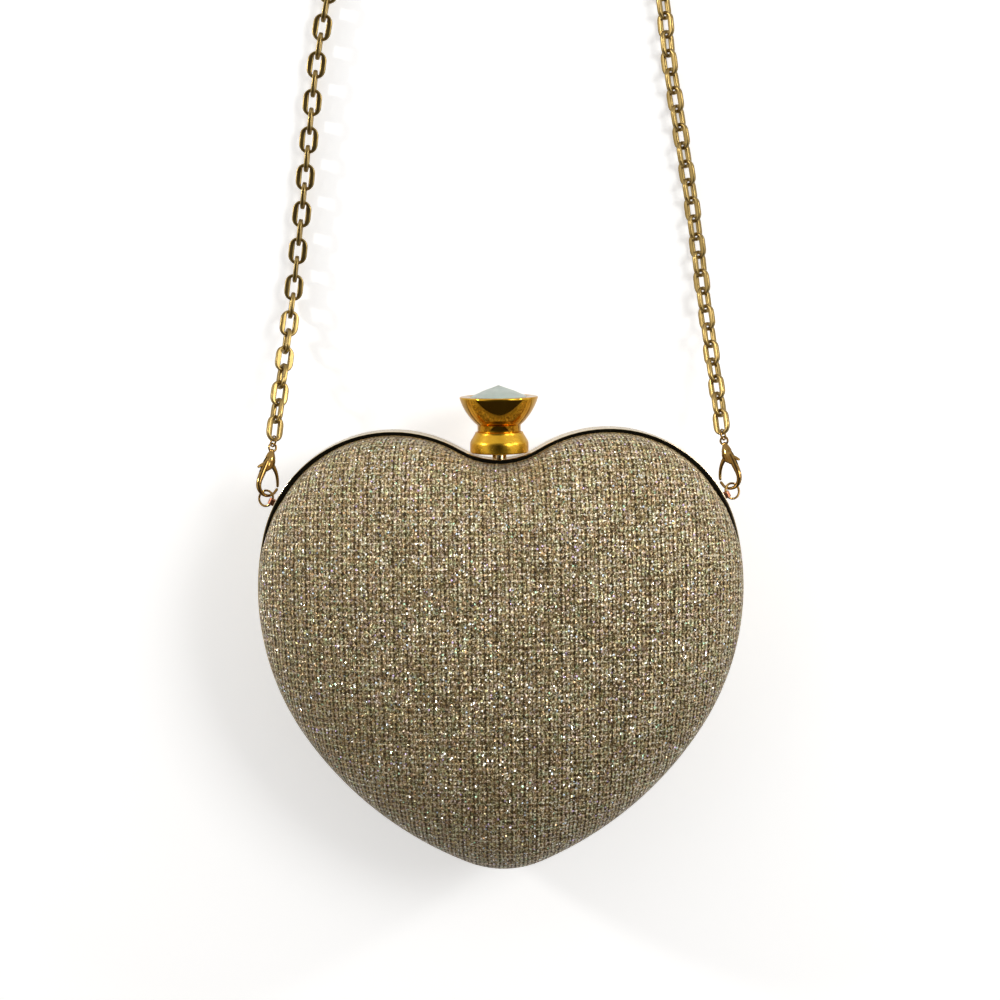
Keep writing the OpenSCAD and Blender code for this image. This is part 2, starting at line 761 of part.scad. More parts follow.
// The coil's spiral inwards and its spiral outwards
in_links = floor(coil_links / 2);
coil_middle = coil_from + (coil_to - coil_from) * in_links / coil_links;
module chain_coil_in() {
    color("gold") links(coil_from, coil_middle, in_links, left_links);
}
module chain_coil_out() {
    color("gold") links(coil_middle, coil_to, coil_links - in_links, left_links + in_links);
}
module chain_right() {
    color("gold") links(coil_to, total, right_links, left_links + coil_links);
}

back_frame();
back_shell();
back_cover();
back_lining();
back_hinge();
hinge_pin();
front_frame();
front_shell();
front_cover();
front_lining();
front_hinge();
catch_plate();
knob_collar();
knob_cup();
knob_crystal();
knob_stem();
knob_spring();
latch_hook();
stem_nut();
left_lug();
right_lug();
left_ring();
right_ring();
left_clasp();
left_lever();
left_rivet();
left_end_ring();
right_clasp();
right_lever();
right_rivet();
right_end_ring();
chain_left();
chain_right();
chain_coil_in();
chain_coil_out();
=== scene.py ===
# %% [markdown]
# # A heart shaped evening purse
# The purse lies on its back on a white floor, and the camera looks straight
# down at it. A measured model already gives every piece its place and size.
# This lesson loads that model, keeps its hidden metal parts, and makes the
# pieces that the eye rests on again with finer meshes and real finishes.

# %% Load the measured model
import math
from itertools import product

import bpy
import numpy as np
from mathutils import Euler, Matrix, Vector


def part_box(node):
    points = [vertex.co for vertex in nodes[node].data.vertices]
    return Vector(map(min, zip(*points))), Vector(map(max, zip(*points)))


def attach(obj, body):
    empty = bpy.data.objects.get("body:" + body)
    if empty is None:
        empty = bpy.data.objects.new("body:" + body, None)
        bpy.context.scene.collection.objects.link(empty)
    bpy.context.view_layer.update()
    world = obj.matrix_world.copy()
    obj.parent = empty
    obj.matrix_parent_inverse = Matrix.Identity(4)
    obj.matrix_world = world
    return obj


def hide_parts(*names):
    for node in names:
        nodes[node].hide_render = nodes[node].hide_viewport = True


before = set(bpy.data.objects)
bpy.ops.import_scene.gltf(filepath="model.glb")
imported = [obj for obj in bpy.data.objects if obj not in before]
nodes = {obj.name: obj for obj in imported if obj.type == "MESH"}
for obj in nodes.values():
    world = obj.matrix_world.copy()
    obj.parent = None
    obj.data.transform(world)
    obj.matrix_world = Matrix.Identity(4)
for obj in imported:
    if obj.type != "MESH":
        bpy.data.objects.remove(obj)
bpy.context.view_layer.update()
mm = 0.001
right_angle = 90
print("pieces in the measured model:", len(nodes))

# %% [markdown]
# ## Camera
# The photograph was taken from about sixty centimetres above the purse, from
# over the knob's side and tilted a little back towards the tip. The outline of
# the heart, which is known in millimetres, fixed the place, the tilt and the
# lens. A short distance like this matters: it makes the raised dome look a
# little larger than its frame.

# %% Place the camera
def new_object(name, data):
    made = bpy.data.objects.new(name, data)
    bpy.context.scene.collection.objects.link(made)
    return made


camera = new_object("camera", bpy.data.cameras.new("camera"))
camera.location = (-0.01171, 0.13575, 0.62476)
camera.rotation_euler = (-0.13047, -0.02137, -0.01309)
camera.data.sensor_width = 36
camera.data.lens = 58.31
bpy.context.scene.camera = camera
print("camera height in metres:", round(camera.location.z, 3))

# %% [markdown]
# ## Helpers for meshes
# Every shell in this lesson is a grid of points whose rows follow each other.
# One helper joins the rows by faces, others turn faces over, put parts
# together, make the object, and let it stand for a measured piece. Meshes
# made from a formula keep the same shape at any fineness, which a sculpted
# mesh would not.

# %% Helpers for meshes
def band_faces(rows, columns, ring=False):
    """Faces between rows of points, each row closed, and the last row joined to the first for a ring."""
    faces = []
    for row in range(rows if ring else rows - 1):
        here = row * columns
        above = (row + 1) % rows * columns
        for k in range(columns):
            after = (k + 1) % columns
            faces.append((here + k, here + after, above + after, above + k))
    return faces


def facing(faces, side):
    """Faces as they are for side 1, and turned over for side -1, where a mesh is mirrored."""
    return faces if side > 0 else [face[::-1] for face in faces]


def joined(parts):
    """One list of points and one of faces from several pairs of them."""
    points = []
    faces = []
    for part_points, part_faces in parts:
        faces += [tuple(len(points) + corner for corner in face) for face in part_faces]
        points += list(part_points)
    return points, faces


def new_piece(name, points, faces):
    mesh = bpy.data.meshes.new(name)
    mesh.from_pydata(np.asarray(points).tolist(), [], faces)
    mesh.validate()
    mesh.shade_smooth()
    print(name, "has", len(mesh.vertices), "points")
    return new_object(name, mesh)


def stand_for(piece, body, slot_name, *hidden):
    """Puts a piece on a body, where it hides the measured nodes that it stands for."""
    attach(piece, body)
    if hidden:
        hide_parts(*hidden)


# %% [markdown]
# ## Strap chain
# The strap is a cable chain of flat stamped links, each turned a quarter turn
# from its neighbours. It runs from both shoulders past the upper edge of the
# view, where the rest of it lies in a flat double spiral. A curve with an
# array modifier can't turn every second link and keep the ends in the
# clasps, so one link is made once and placed along the route by a formula.

# %% Route of the chain
left_route = mm * np.array([
    [-83.9, 81.3, 21], [-83.4, 86, 19.2], [-82.2, 96, 14.8], [-80.6, 108, 10], [-79, 120, 6.5],
    [-77.2, 132, 4.4], [-75, 148, 3.6], [-71.8, 172, 3.6], [-67.4, 208, 3.6], [-65.4, 221, 3.6],
    [-62.8, 235, 3.6], [-59.8, 248, 3.6], [-57.6, 264, 3.6], [-56.2, 290, 3.6], [-56, 318, 3.6]])
right_route = mm * np.array([
    [14, 280.2, 3.6], [20, 280, 3.6], [26, 279.6, 3.6], [32, 278.3, 3.6], [38, 276.2, 3.6],
    [43.3, 273.2, 3.6], [48.3, 269.6, 3.6], [52.7, 265.4, 3.5], [56.5, 260.6, 3.5], [59.5, 255.3, 3.4],
    [61.8, 249.6, 3.3], [63.3, 243.6, 3.2], [64.4, 236, 3.2], [66, 219, 3.2], [70.2, 193.5, 3.2],
    [74.4, 168, 3.2], [77, 149, 3.4], [78.6, 135, 4.2], [80.2, 122, 6.4], [81.6, 108, 10], [82.8, 96, 14.8],
    [83.5, 86, 19.2], [83.9, 81.3, 21]])
coil_at = mm * np.array([0, 332, 3.6])
coil_r = 32 * mm
coil_step = 16 * mm
coil_seg = 12
full_turn = 360
left_turns = 1.5
right_turns = 1.25


def around(radius, degrees):
    turn = np.radians(degrees)
    return np.stack([radius * np.cos(turn), radius * np.sin(turn), 0 * turn], axis=-1)


def spiral(degrees):
    return around(coil_r + coil_step * degrees / full_turn, degrees)


inward = np.arange(full_turn * left_turns, 0, -coil_seg)
half_back = -np.arange(0, full_turn / 2 + 1, coil_seg)
half_on = np.arange(coil_seg, full_turn / 2 + 1, coil_seg)
outward = np.arange(coil_seg, full_turn * right_turns + 1, coil_seg)
half_centre = np.array([coil_r / 2, 0, 0])
coil_route = coil_at + np.concatenate([
    spiral(inward),
    half_centre + around(coil_r / 2, half_back),
    -half_centre + around(coil_r / 2, half_on),
    -spiral(outward)])
route = np.concatenate([left_route, coil_route, right_route])
steps = np.linalg.norm(np.diff(route, axis=0), axis=1)
reach = np.concatenate([[0], np.cumsum(steps)])
chain_length = reach[-1]
print("chain length in metres:", round(chain_length, 3))

# %% One flat link
link_l = 10.2 * mm
link_w = 7 * mm
link_t = 1.5 * mm
link_side = 2.1 * mm
link_end = 1.4 * mm
hole_l = link_l - 2 * link_end
hole_w = link_w - 2 * link_side
hole_round = 0.6 * mm
edge_r = 0.42 * mm
hair = mm / 100
corner_steps = 6
edge_turns = (0, 30, 60, 90)


def rounded(length, width, corner):
    """Outline of a plate with rounded corners, as points round its middle."""
    turns = np.radians(np.linspace(0, right_angle, corner_steps + 1))
    points = []
    for x, y in ((1, 1), (-1, 1), (-1, -1), (1, -1)):
        sweep = turns if x * y > 0 else turns[::-1]
        for turn in sweep:
            points.append((x * (length / 2 - corner + corner * math.cos(turn)),
                           y * (width / 2 - corner + corner * math.sin(turn))))
    return np.array(points)


def link_rows():
    """Rows of points round the link's section, with its edges rounded off."""
    rows = []
    for side in (-1, 1):
        outer = []
        inner = []
        for turn in np.radians(edge_turns):
            inset = edge_r * (1 - math.cos(turn))
            height = side * (link_t / 2 - edge_r + edge_r * math.sin(turn))
            plate = rounded(link_l - 2 * inset, link_w - 2 * inset, link_w / 2 - inset - hair)
            hole = rounded(hole_l + 2 * inset, hole_w + 2 * inset, hole_round + inset)
            outer.append((plate, height))
            inner.append((hole, height))
        rows += outer + inner[::-1] if side > 0 else inner + outer[::-1]
    return [np.column_stack([flat, np.full(len(flat), z)]) for flat, z in rows]


link_points = np.array(link_rows())
link_faces = band_faces(len(link_points), link_points.shape[1], ring=True)
print("points in one link:", link_points.shape[0] * link_points.shape[1])

# %% Place the links
pitch_slack = 0.5 * mm
coil_slack = 1.0 * mm
twist = 45
clasp_twist_l = 70 * mm
coil_twist_l = 120 * mm
coil_from = reach[len(left_route) - 1]
coil_to = reach[len(left_route) + len(coil_route)]
left_links = round(coil_from / (hole_l - pitch_slack))
right_links = round((chain_length - coil_to) / (hole_l - pitch_slack))
loose_links = round((coil_to - coil_from) / (hole_l - coil_slack))
coil_links = loose_links + (loose_links + left_links + right_links + 1) % 2


def on_route(distance):
    return np.array([np.interp(distance, reach, route[:, axis]) for axis in range(3)])


def link_run(start, end, count, first):
    """Links between two distances along the route, each turned on by a right angle."""
    pitch = (end - start) / count
    for k in range(count):
        middle = start + (k + 0.5) * pitch
        way = on_route(middle + pitch / 2) - on_route(middle - pitch / 2)
        slope = -math.atan2(way[2], math.hypot(way[0], way[1]))
        heading = math.atan2(way[1], way[0])
        lean = np.interp(middle, [0, clasp_twist_l, coil_from, coil_from + coil_twist_l], [1, 0, 0, 1])
        roll = math.radians((k + first) % 2 * right_angle + twist * lean)
        turn = np.array(Euler((roll, slope, heading), "XYZ").to_matrix())
        yield link_points.reshape(-1, 3) @ turn.T + on_route(middle)


placed = [
    *link_run(0, coil_from, left_links, 0),
    *link_run(coil_from, coil_to, coil_links, left_links),
    *link_run(coil_to, chain_length, right_links, left_links + coil_links)]
chain = new_piece("strap_chain", *joined([(points, link_faces) for points in placed]))
print("links:", len(placed))

stand_for(chain, "purse_back", "chain", "chain_left", "chain_right", "chain_coil_in", "chain_coil_out")

# %% [markdown]
# ## Outline of the heart
# The heart is a string of arcs that touch without a kink: the dip, the round
# lobe, the side, the long flank and the tip. Each arc is written as points
# on a circle, and the left half mirrors the right. The same outline, moved
# inwards, gives the frame, the cloth and the lining, so they always fit.

# %% The heart as arcs
dip_r = 28 * mm
lobe_r = 49 * mm
side_r = 98 * mm
tip_r = 36 * mm
dip_y = 73 * mm
dip_turn = 31
lobe_turn = 108
side_turn = 46
flank_turn = 34
lobe_start = right_angle + dip_turn
side_start = lobe_start - lobe_turn
flank_start = side_start - side_turn
tip_start = flank_start - flank_turn
arc_step = 3.2 * mm


def polar(radius, degrees):
    turn = np.radians(degrees)
    return radius * np.stack([np.cos(turn), np.sin(turn)], axis=-1)


def ring_turns(sides, offset=0):
    return (np.arange(sides) + offset) * full_turn / sides


dip_c = np.array([0, dip_y + dip_r])
lobe_c = dip_c + polar(dip_r, dip_turn - right_angle) - polar(lobe_r, lobe_start)
side_c = lobe_c + polar(lobe_r - side_r, side_start)
flank_cos = math.cos(math.radians(flank_start))
tip_cos = math.cos(math.radians(tip_start))
flank_r = (side_c[0] + side_r * flank_cos - tip_r * tip_cos) / (flank_cos - tip_cos)
flank_c = side_c + polar(side_r - flank_r, flank_start)
flank_end = flank_c + polar(flank_r, tip_start)
tip_c = np.array([0, flank_end[1] - tip_r * math.sin(math.radians(tip_start))])
tip_y = tip_c[1] - tip_r


def arc(centre, radius, inset, start, turn, step):
    count = round(math.radians(abs(turn)) * radius / step)
    return centre + polar(radius - inset, start + turn * np.arange(count) / count)


def rim(inset, step=arc_step):
    """The heart's outline moved inwards, clockwise from the dip."""
    half = np.concatenate([
        arc(dip_c, dip_r, -inset, -right_angle, dip_turn, step),
        arc(lobe_c, lobe_r, inset, lobe_start, -lobe_turn, step),
        arc(side_c, side_r, inset, side_start, -side_turn, step),
        arc(flank_c, flank_r, inset, flank_start, -flank_turn, step),
        arc(tip_c, tip_r, inset, tip_start, -right_angle - tip_start, step),
        [[0, tip_y + inset]]])
    return np.concatenate([half, (half * [-1, 1])[-2:0:-1]])


print("width of the heart in metres:", round(2 * rim(0)[:, 0].max(), 4))

# %% [markdown]
# ## Domes of cloth, lining and board
# Each half of the purse is a shallow dome: a straight skirt that stands in
# the frame's channel, then a rise to the middle. Its height lines are hearts
# near the edge and turn round towards the middle, as a moulded board under
# stretched cloth does. The padded cloth is squarer at its shoulders than the
# board, and bulges over the metal frame along the sides and at the tip, so
# that from above the frame shows only round the upper lobes. A subdivision
# surface would round all of that alike, so each dome is computed ring by ring.

# %% A dome ring by ring
part_z = 30 * mm
frame_h = 5.2 * mm
frame_wall = 1.6 * mm
flange_t = 1.2 * mm
lip_t = 1 * mm
lip_h = 4 * mm
cloth_t = 0.8 * mm
shell_t = 1.8 * mm
lining_t = 0.5 * mm
rest_cut = 0.4 * mm
seat_gap = 0.05 * mm
part_gap = 0.1 * mm
chord_gap = 0.35 * mm
skirt_gap = 0.2 * mm
round_share = 0.8
round_r = 80 * mm
skirt_h = frame_h - skirt_gap
skirt_low = part_gap + flange_t + seat_gap
cover_in = frame_wall + seat_gap
shell_in = cover_in + cloth_t + seat_gap
lining_in = shell_in + shell_t + seat_gap
dome_h = part_z - skirt_h + rest_cut
padded_square = 2.35
plain_square = 2
swell_at = mm * np.array([-83, -20, 38, 60, 80, 90])
swell_by = mm * np.array([0.6, 1.1, 1.6, -0.65, -0.25, -0.25])
swell_low = 0.3 * mm
swell_high = 4 * mm
edge_crowd = 1.5


def soft_step(value, low, high):
    share = np.clip((value - low) / (high - low), 0, 1)
    return share * share * (3 - 2 * share)


def dome_rows(inset, rise, rings, step, square, padded):
    """Rows of points from the skirt to the top. More than 2 as square gives fuller shoulders."""
    edge = rim(inset, step)
    rows = [np.column_stack([edge, np.full(len(edge), skirt_low)])]
    swell = np.interp(edge[:, 1], swell_at, swell_by) if padded else np.zeros(len(edge))
    for part in np.linspace(0, 1, rings, endpoint=False):
        turn = math.radians(right_angle * part ** edge_crowd)
        share = math.cos(turn) ** (2 / square)
        height = rise * math.sin(turn) ** (2 / square)
        bulge = np.where(swell < 0, swell, swell * soft_step(height, swell_low, swell_high)) * share
        mix = round_share * (1 - share)
        far = np.linalg.norm(edge, axis=1, keepdims=True)
        ring = share * ((1 - mix) * edge + mix * round_r * edge / far) + bulge[:, None] * edge / far
        rows.append(np.column_stack([ring, np.full(len(edge), skirt_h + height)]))
    return np.array(rows)


def dome(name, side, inset, thickness, rings, step, square):
    """A closed shell with an outer and an inner skin. side is 1 for the front half and -1 for the back."""
    rise = dome_h + cover_in - inset
    skins = []
    # The faces of the inner skin are turned the other way round from those of the outer one
    for way, deeper in ((-1, 0), (1, thickness)):
        padded = way < 0 and square > plain_square
        rows = dome_rows(inset + deeper, rise - deeper, rings, step, square, padded)
        count = rows.shape[1]
        top = len(rows) * count
        last = top - count
        band = band_faces(len(rows), count)
        band += [(last + k, last + (k + 1) % count, top) for k in range(count)]
        skins.append(([*rows.reshape(-1, 3), [0, 0, skirt_h + rise - deeper]], facing(band, way)))
    points, faces = joined(skins)
    second = len(points) // 2
    faces += [(k, second + k, second + (k + 1) % count, (k + 1) % count) for k in range(count)]
    placed_at = np.array(points) * [1, 1, side] + [0, 0, part_z]
    placed_at[:, 2] = np.maximum(placed_at[:, 2], 0)
    return new_piece(name, placed_at, facing(faces, side))


# %% Three layers of each half
cover_rings = 56
lining_rings = 28
lining_step = 5 * mm
halves = {"front": 1, "back": -1}
# Each row is the layer, the node that it replaces, its slot and the form of its dome
layers = (
    ("cloth", "cover", "cloth", (cover_in, cloth_t, cover_rings, arc_step, padded_square)),
    ("satin", "lining", "lining", (lining_in, lining_t, lining_rings, lining_step, plain_square)),
    ("board", "shell", "board", (shell_in, shell_t, lining_rings, lining_step, plain_square)))
domes = {}
for layer, node, slot_name, form in layers:
    domes[layer] = []
    for half, side in halves.items():
        piece = dome(f"{half}_{layer}", side, *form)
        stand_for(piece, f"purse_{half}", slot_name, f"{half}_{node}")
        domes[layer].append(piece)

# %% [markdown]
# A weave needs coordinates that lie in the cloth, in millimetres, or its
# threads would stretch down the steep edge. Cloth smoothed over a dome keeps
# its distance from the middle nearly unchanged. So each point gets the
# length of the way up to the middle, in the direction in which it lies, and
# this goes into a UV map that the cloth's material reads.

# %% Cloth coordinates
def lay_cloth(piece, rings):
    """Gives a dome its cloth coordinates, which run in millimetres from the middle."""
    mesh = piece.data
    place = np.empty(len(mesh.vertices) * 3)
    mesh.vertices.foreach_get("co", place)
    place = place.reshape(-1, 3)
    skin = len(place) // 2
    flat = np.empty((len(place), 2))
    for start in (0, skin):
        rows = place[start:start + skin - 1].reshape(rings + 1, -1, 3)
        top = place[start + skin - 1]
        whole = np.concatenate([rows, np.broadcast_to(top, (1, rows.shape[1], 3))])
        climb = np.linalg.norm(np.diff(whole, axis=0), axis=2)
        distance = climb[::-1].cumsum(axis=0)[::-1]
        outward_way = rows[:, :, :2] / np.linalg.norm(rows[:, :, :2], axis=2, keepdims=True)
        flat[start:start + skin - 1] = (distance[:, :, None] * outward_way).reshape(-1, 2)
        flat[start + skin - 1] = 0
    corners = np.empty(len(mesh.loops), dtype=int)
    mesh.loops.foreach_get("vertex_index", corners)
    cloth_uv = mesh.uv_layers.new(name="cloth")
    cloth_uv.data.foreach_set("uv", (flat[corners] / mm).ravel())
    print(piece.name, "cloth spans", (flat.max(axis=0) - flat.min(axis=0)).round(3), "metres")


for piece in domes["cloth"]:
    lay_cloth(piece, cover_rings)
for piece in domes["satin"]:
    lay_cloth(piece, lining_rings)

# %% [markdown]
# ## Frames
# A pressed gilt channel grips the edge of each half: a flange at the parting
# plane, an outer wall with a flat polished crest, and a lip inside. A profile
# swept along the outline by a curve's bevel would twist at the dip, so the
# profile is placed point by point at its distance from the outline. The
# notch for the hinge and the way for the knob's stem are cut by a boolean.

# %% Frame profile and sweep
channel_w = cloth_t + shell_t + lining_t + 4 * seat_gap + chord_gap
frame_w = frame_wall + channel_w + lip_t
channel_low = part_gap + flange_t
soft_r = 0.25 * mm
crest_out_r = 0.22 * mm
crest_in_r = 0.12 * mm
crest_steps = 5
quarter = np.linspace(0, right_angle, crest_steps)
outer_foot = np.array([-soft_r, part_gap + soft_r]) + polar(soft_r, quarter - right_angle)
outer_crest = np.array([-crest_out_r, frame_h - crest_out_r]) + polar(crest_out_r, quarter)
inner_corner = np.array([crest_in_r - frame_wall, frame_h - crest_in_r])
inner_crest = inner_corner + polar(crest_in_r, quarter + right_angle)
lip_out = lip_t - frame_w
profile = np.concatenate([
    [[-frame_w, part_gap]], outer_foot, outer_crest, inner_crest,
    [[-frame_wall, channel_low], [lip_out, channel_low], [lip_out, lip_h], [-frame_w, lip_h]]])


def swept_frame(name, side):
    """The profile swept along the outline. Where the cloth draws back, the crest grows inwards after it."""
    rows = []
    drawn_back = np.maximum(-np.interp(rim(cover_in)[:, 1], swell_at, swell_by), 0)[:, None]
    for out, height in profile:
        edge = rim(-out)
        if height > channel_low and lip_out < out < -crest_out_r:
            edge = edge - drawn_back * edge / np.linalg.norm(edge, axis=1, keepdims=True)
        rows.append(np.column_stack([edge, np.full(len(edge), part_z + side * height)]))
    rows = np.array(rows)
    faces = band_faces(rows.shape[0], rows.shape[1], ring=True)
    return new_piece(name, rows.reshape(-1, 3), facing(faces, -side))


rims = [swept_frame(f"{half}_rim", side) for half, side in halves.items()]

# %% Cut the hinge notch and the stem's way
barrel_r = 1.25 * mm
knuckle_l = 3.6 * mm
knuckle_gap = 0.2 * mm
hinge_half = 2.5 * knuckle_l + 2 * knuckle_gap
notch_half = hinge_half + 3 * knuckle_gap
notch_h = 2.1 * mm
stem_r = 2 * mm
way_gap = 0.6 * mm
overrun = 0.5 * mm
leaf_inner = frame_w - lip_t
rod_sides = 32
rim_crease = 40


def box_points(low, high):
    return list(product(*zip(low, high)))


box_faces = [(0, 1, 3, 2), (4, 6, 7, 5), (0, 4, 5, 1), (2, 3, 7, 6), (0, 2, 6, 4), (1, 5, 7, 3)]


def notch_cutters():
    """A box for the barrels, a flat box for the leaves and a rod for the stem."""
    barrels = box_points([-notch_half, tip_y - overrun, part_z - notch_h],
                         [notch_half, tip_y + 2 * barrel_r + seat_gap + knuckle_gap, part_z + notch_h])
    leaves = box_points([-notch_half, tip_y - 2 * overrun, part_z - part_gap - flange_t],
                        [notch_half, tip_y + leaf_inner, part_z + part_gap + flange_t])
    rod = [[x, y, part_z + z] for y in (dip_y - 2 * frame_w, dip_y + frame_w)
           for x, z in polar(stem_r + way_gap, ring_turns(rod_sides))]
    near_end = tuple(range(rod_sides))[::-1]
    far_end = tuple(range(rod_sides, 2 * rod_sides))
    rod_faces = [*band_faces(2, rod_sides), near_end, far_end]
    return new_piece("cutters", *joined([(barrels, box_faces), (leaves, box_faces), (rod, rod_faces)]))


def applied(piece):
    """Replaces a piece's mesh by the mesh that its modifiers make."""
    shown = piece.evaluated_get(bpy.context.evaluated_depsgraph_get())
    mesh = bpy.data.meshes.new_from_object(shown)
    piece.modifiers.clear()
    piece.data = mesh


cutters = notch_cutters()
for half, piece in zip(halves, rims):
    cut = piece.modifiers.new("notch", "BOOLEAN")
    cut.object = cutters
    cut.use_self = True
    applied(piece)
    piece.data.set_sharp_from_angle(angle=math.radians(rim_crease))
    stand_for(piece, f"purse_{half}", "gilt", f"{half}_frame")
    print(piece.name, "after the cut has", len(piece.data.vertices), "points")
bpy.data.objects.remove(cutters)

# %% [markdown]
# ## Knob
# The latch's knob is a turned and polished casting: a collar that sits on the
# dip, and a bowl with a stone in its flat lip. Turned parts are made from one
# profile and a full turn round the axis. The collar's foot is not flat: its
# points are lifted at the sides, to stay outside the curve of the dip.

# %% Turned parts
turned_steps = 144
knob_low, knob_top, stone_top = (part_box(node)[1][1] for node in ("knob_collar", "knob_cup", "knob_crystal"))
corner_share = 0.45


def knob_ring(radius, height, sides, offset=0):
    """Points round the knob's axis, which points along +Y."""
    flat = polar(radius, ring_turns(sides, offset))
    return np.column_stack([flat[:, 0], np.full(sides, height), part_z - flat[:, 1]])


def turned(name, outline):
    """Turns a closed outline of radius and height about the knob's axis."""
    rows = np.array([knob_ring(radius, height, turned_steps) for radius, height in outline])
    return new_piece(name, rows.reshape(-1, 3), band_faces(len(rows), turned_steps, ring=True))


def rounded_profile(corners, radius, steps=5):
    """Rounds every corner of a closed outline by a small arc."""
    points = []
    corners = np.array(corners)
    for k, corner in enumerate(corners):
        before = corners[k - 1] - corner
        after = corners[(k + 1) % len(corners)] - corner
        short = min(np.linalg.norm(before), np.linalg.norm(after))
        reach_in = min(radius, corner_share * short)
        start = corner + before / np.linalg.norm(before) * reach_in
        end = corner + after / np.linalg.norm(after) * reach_in
        for share in np.linspace(0, 1, steps):
            points.append((1 - share) ** 2 * start + 2 * share * (1 - share) * corner + share ** 2 * end)
    return np.array(points)


neck_r = 8 * mm
stem_gap = 0.05 * mm
bore_r = neck_r + stem_gap
stem_way_r = stem_r + stem_gap
collar_floor = dip_y + 2.6 * mm
foot_r = 2.6 * mm
foot_top = dip_y + 2.1 * mm
collar_r = 10.8 * mm
band_low = dip_y + 2.3 * mm
band_high = dip_y + 6.2 * mm
shoulder_r = 8.9 * mm
shoulder_low = knob_low - 0.5 * mm
collar_round = 0.8 * mm
collar_outline = rounded_profile([
    (stem_way_r, dip_y), (foot_r, dip_y), (foot_r, foot_top), (collar_r, band_low), (collar_r, band_high),
    (shoulder_r, shoulder_low), (shoulder_r, knob_low), (bore_r, knob_low), (bore_r, collar_floor),
    (stem_way_r, collar_floor)], collar_round)
collar = turned("collar", collar_outline)
for vertex in collar.data.vertices:
    under = dip_c[1] - math.sqrt((dip_r - seat_gap) ** 2 - vertex.co.x ** 2)
    vertex.co.y = max(vertex.co.y, under)

# %% Bowl of the knob
lip_r = 14.5 * mm
stone_r = 10.4 * mm
stone_seat = knob_top - 2.2 * mm
lip_round = 0.5 * mm
seat_edge = 0.3 * mm
seat_r = stone_r + seat_gap
neck_h = 2.5 * mm
bowl_r = 22 * mm
pocket_r = 5.2 * mm
neck_low = knob_low - 2.2 * mm
pocket_top = neck_low + 3.15 * mm
stem_top = neck_low + 7 * mm
bowl_steps = 40
lip_turns = np.linspace(0, right_angle, 7)
knob_crease = 50


def bow(start, end, radius, count):
    """An arc between two points that bulges to the right of the way between them."""
    start = np.array(start)
    end = np.array(end)
    chord = np.linalg.norm(end - start)
    along = (end - start) / chord
    centre = (start + end) / 2 - np.array([along[1], -along[0]]) * math.sqrt(radius ** 2 - chord ** 2 / 4)
    first, last = (math.atan2(*(point - centre)[::-1]) for point in (start, end))
    turns = np.linspace(first, last, count)
    return centre + radius * np.stack([np.cos(turns), np.sin(turns)], axis=-1)


bowl_side = bow((neck_r, knob_low + neck_h), (lip_r, knob_top - lip_round), bowl_r, bowl_steps)
lip = np.array([lip_r - lip_round, knob_top - lip_round]) + polar(lip_round, lip_turns)
bowl_outline = np.concatenate([
    [[pocket_r, neck_low], [neck_r, neck_low]], bowl_side, lip[1:],
    [[seat_r + seat_edge, knob_top], [seat_r, knob_top - seat_edge], [seat_r, stone_seat],
     [hair, stone_seat], [hair, stem_top], [stem_r, stem_top], [stem_r, pocket_top], [pocket_r, pocket_top]]])
bowl = turned("bowl", bowl_outline)
for piece, node, body in ((collar, "knob_collar", "purse_back"), (bowl, "knob_cup", "knob")):
    piece.data.set_sharp_from_angle(angle=math.radians(knob_crease))
    stand_for(piece, body, "gilt", node)

# %% [markdown]
# The stone is a shallow pointed chaton: a thin girdle, a ring of kite facets
# and a star of facets that meet in the point. Facets have to stay flat, so
# this mesh is small, shaded flat, and gets only a very fine bevel. Under it
# lies the foil that such stones are backed with, which throws light back.

# %% Stone and foil
stone_sides = 12
girdle_low = knob_top - 2 * mm
table_r = 6 * mm
stone_rise = stone_top - knob_top
break_h = knob_top + stone_rise / 2


def faceted(name, top, low, rim_h, mid_h, radius, mid_r):
    levels = ((radius, low, 0), (radius, rim_h, 0), (mid_r, mid_h, 0.5))
    rings = [knob_ring(ring_r, height, stone_sides, offset) for ring_r, height, offset in levels]
    points = np.concatenate([*rings, [[0, low, part_z]], [[0, top, part_z]]])
    bottom = 3 * stone_sides
    tip = bottom + 1
    faces = []
    for k in range(stone_sides):
        after = (k + 1) % stone_sides
        near, far = stone_sides + k, stone_sides + after
        kite, next_kite = 2 * stone_sides + k, 2 * stone_sides + after
        faces += [(k, after, far, near), (near, far, kite), (kite, far, next_kite), (kite, next_kite, tip),
                  (after, k, bottom)]
    made = new_piece(name, points, faces)
    made.data.shade_flat()
    return made


stone_low = girdle_low + mm / 2
stone_edge = stone_r - mm / 20
foil_top = knob_top + stone_rise / 3
foil_edge = stone_r - mm / 5
stone = faceted("stone", stone_top, stone_low, knob_top, break_h, stone_edge, table_r)
foil = faceted("foil", foil_top, girdle_low, knob_top - mm, knob_top, foil_edge, table_r)
fine_edge = stone.modifiers.new("fine edge", "BEVEL")
fine_edge.width = 0.08 * mm
stand_for(stone, "knob", "crystal", "knob_crystal")
stand_for(foil, "knob", "steel")

# %% [markdown]
# ## Small castings
# Lugs and wire rings already have their true shape in the measured model, but
# a lug's edges are knife sharp, which no casting has. A copy goes through a
# fine voxel remesh and some smoothing, as tumbling in a polishing drum does,
# and takes the place of the sharp one. Rings only need smooth shading.

# %% Tumble the castings
fine_voxel = 0.14 * mm
soft_passes = 6


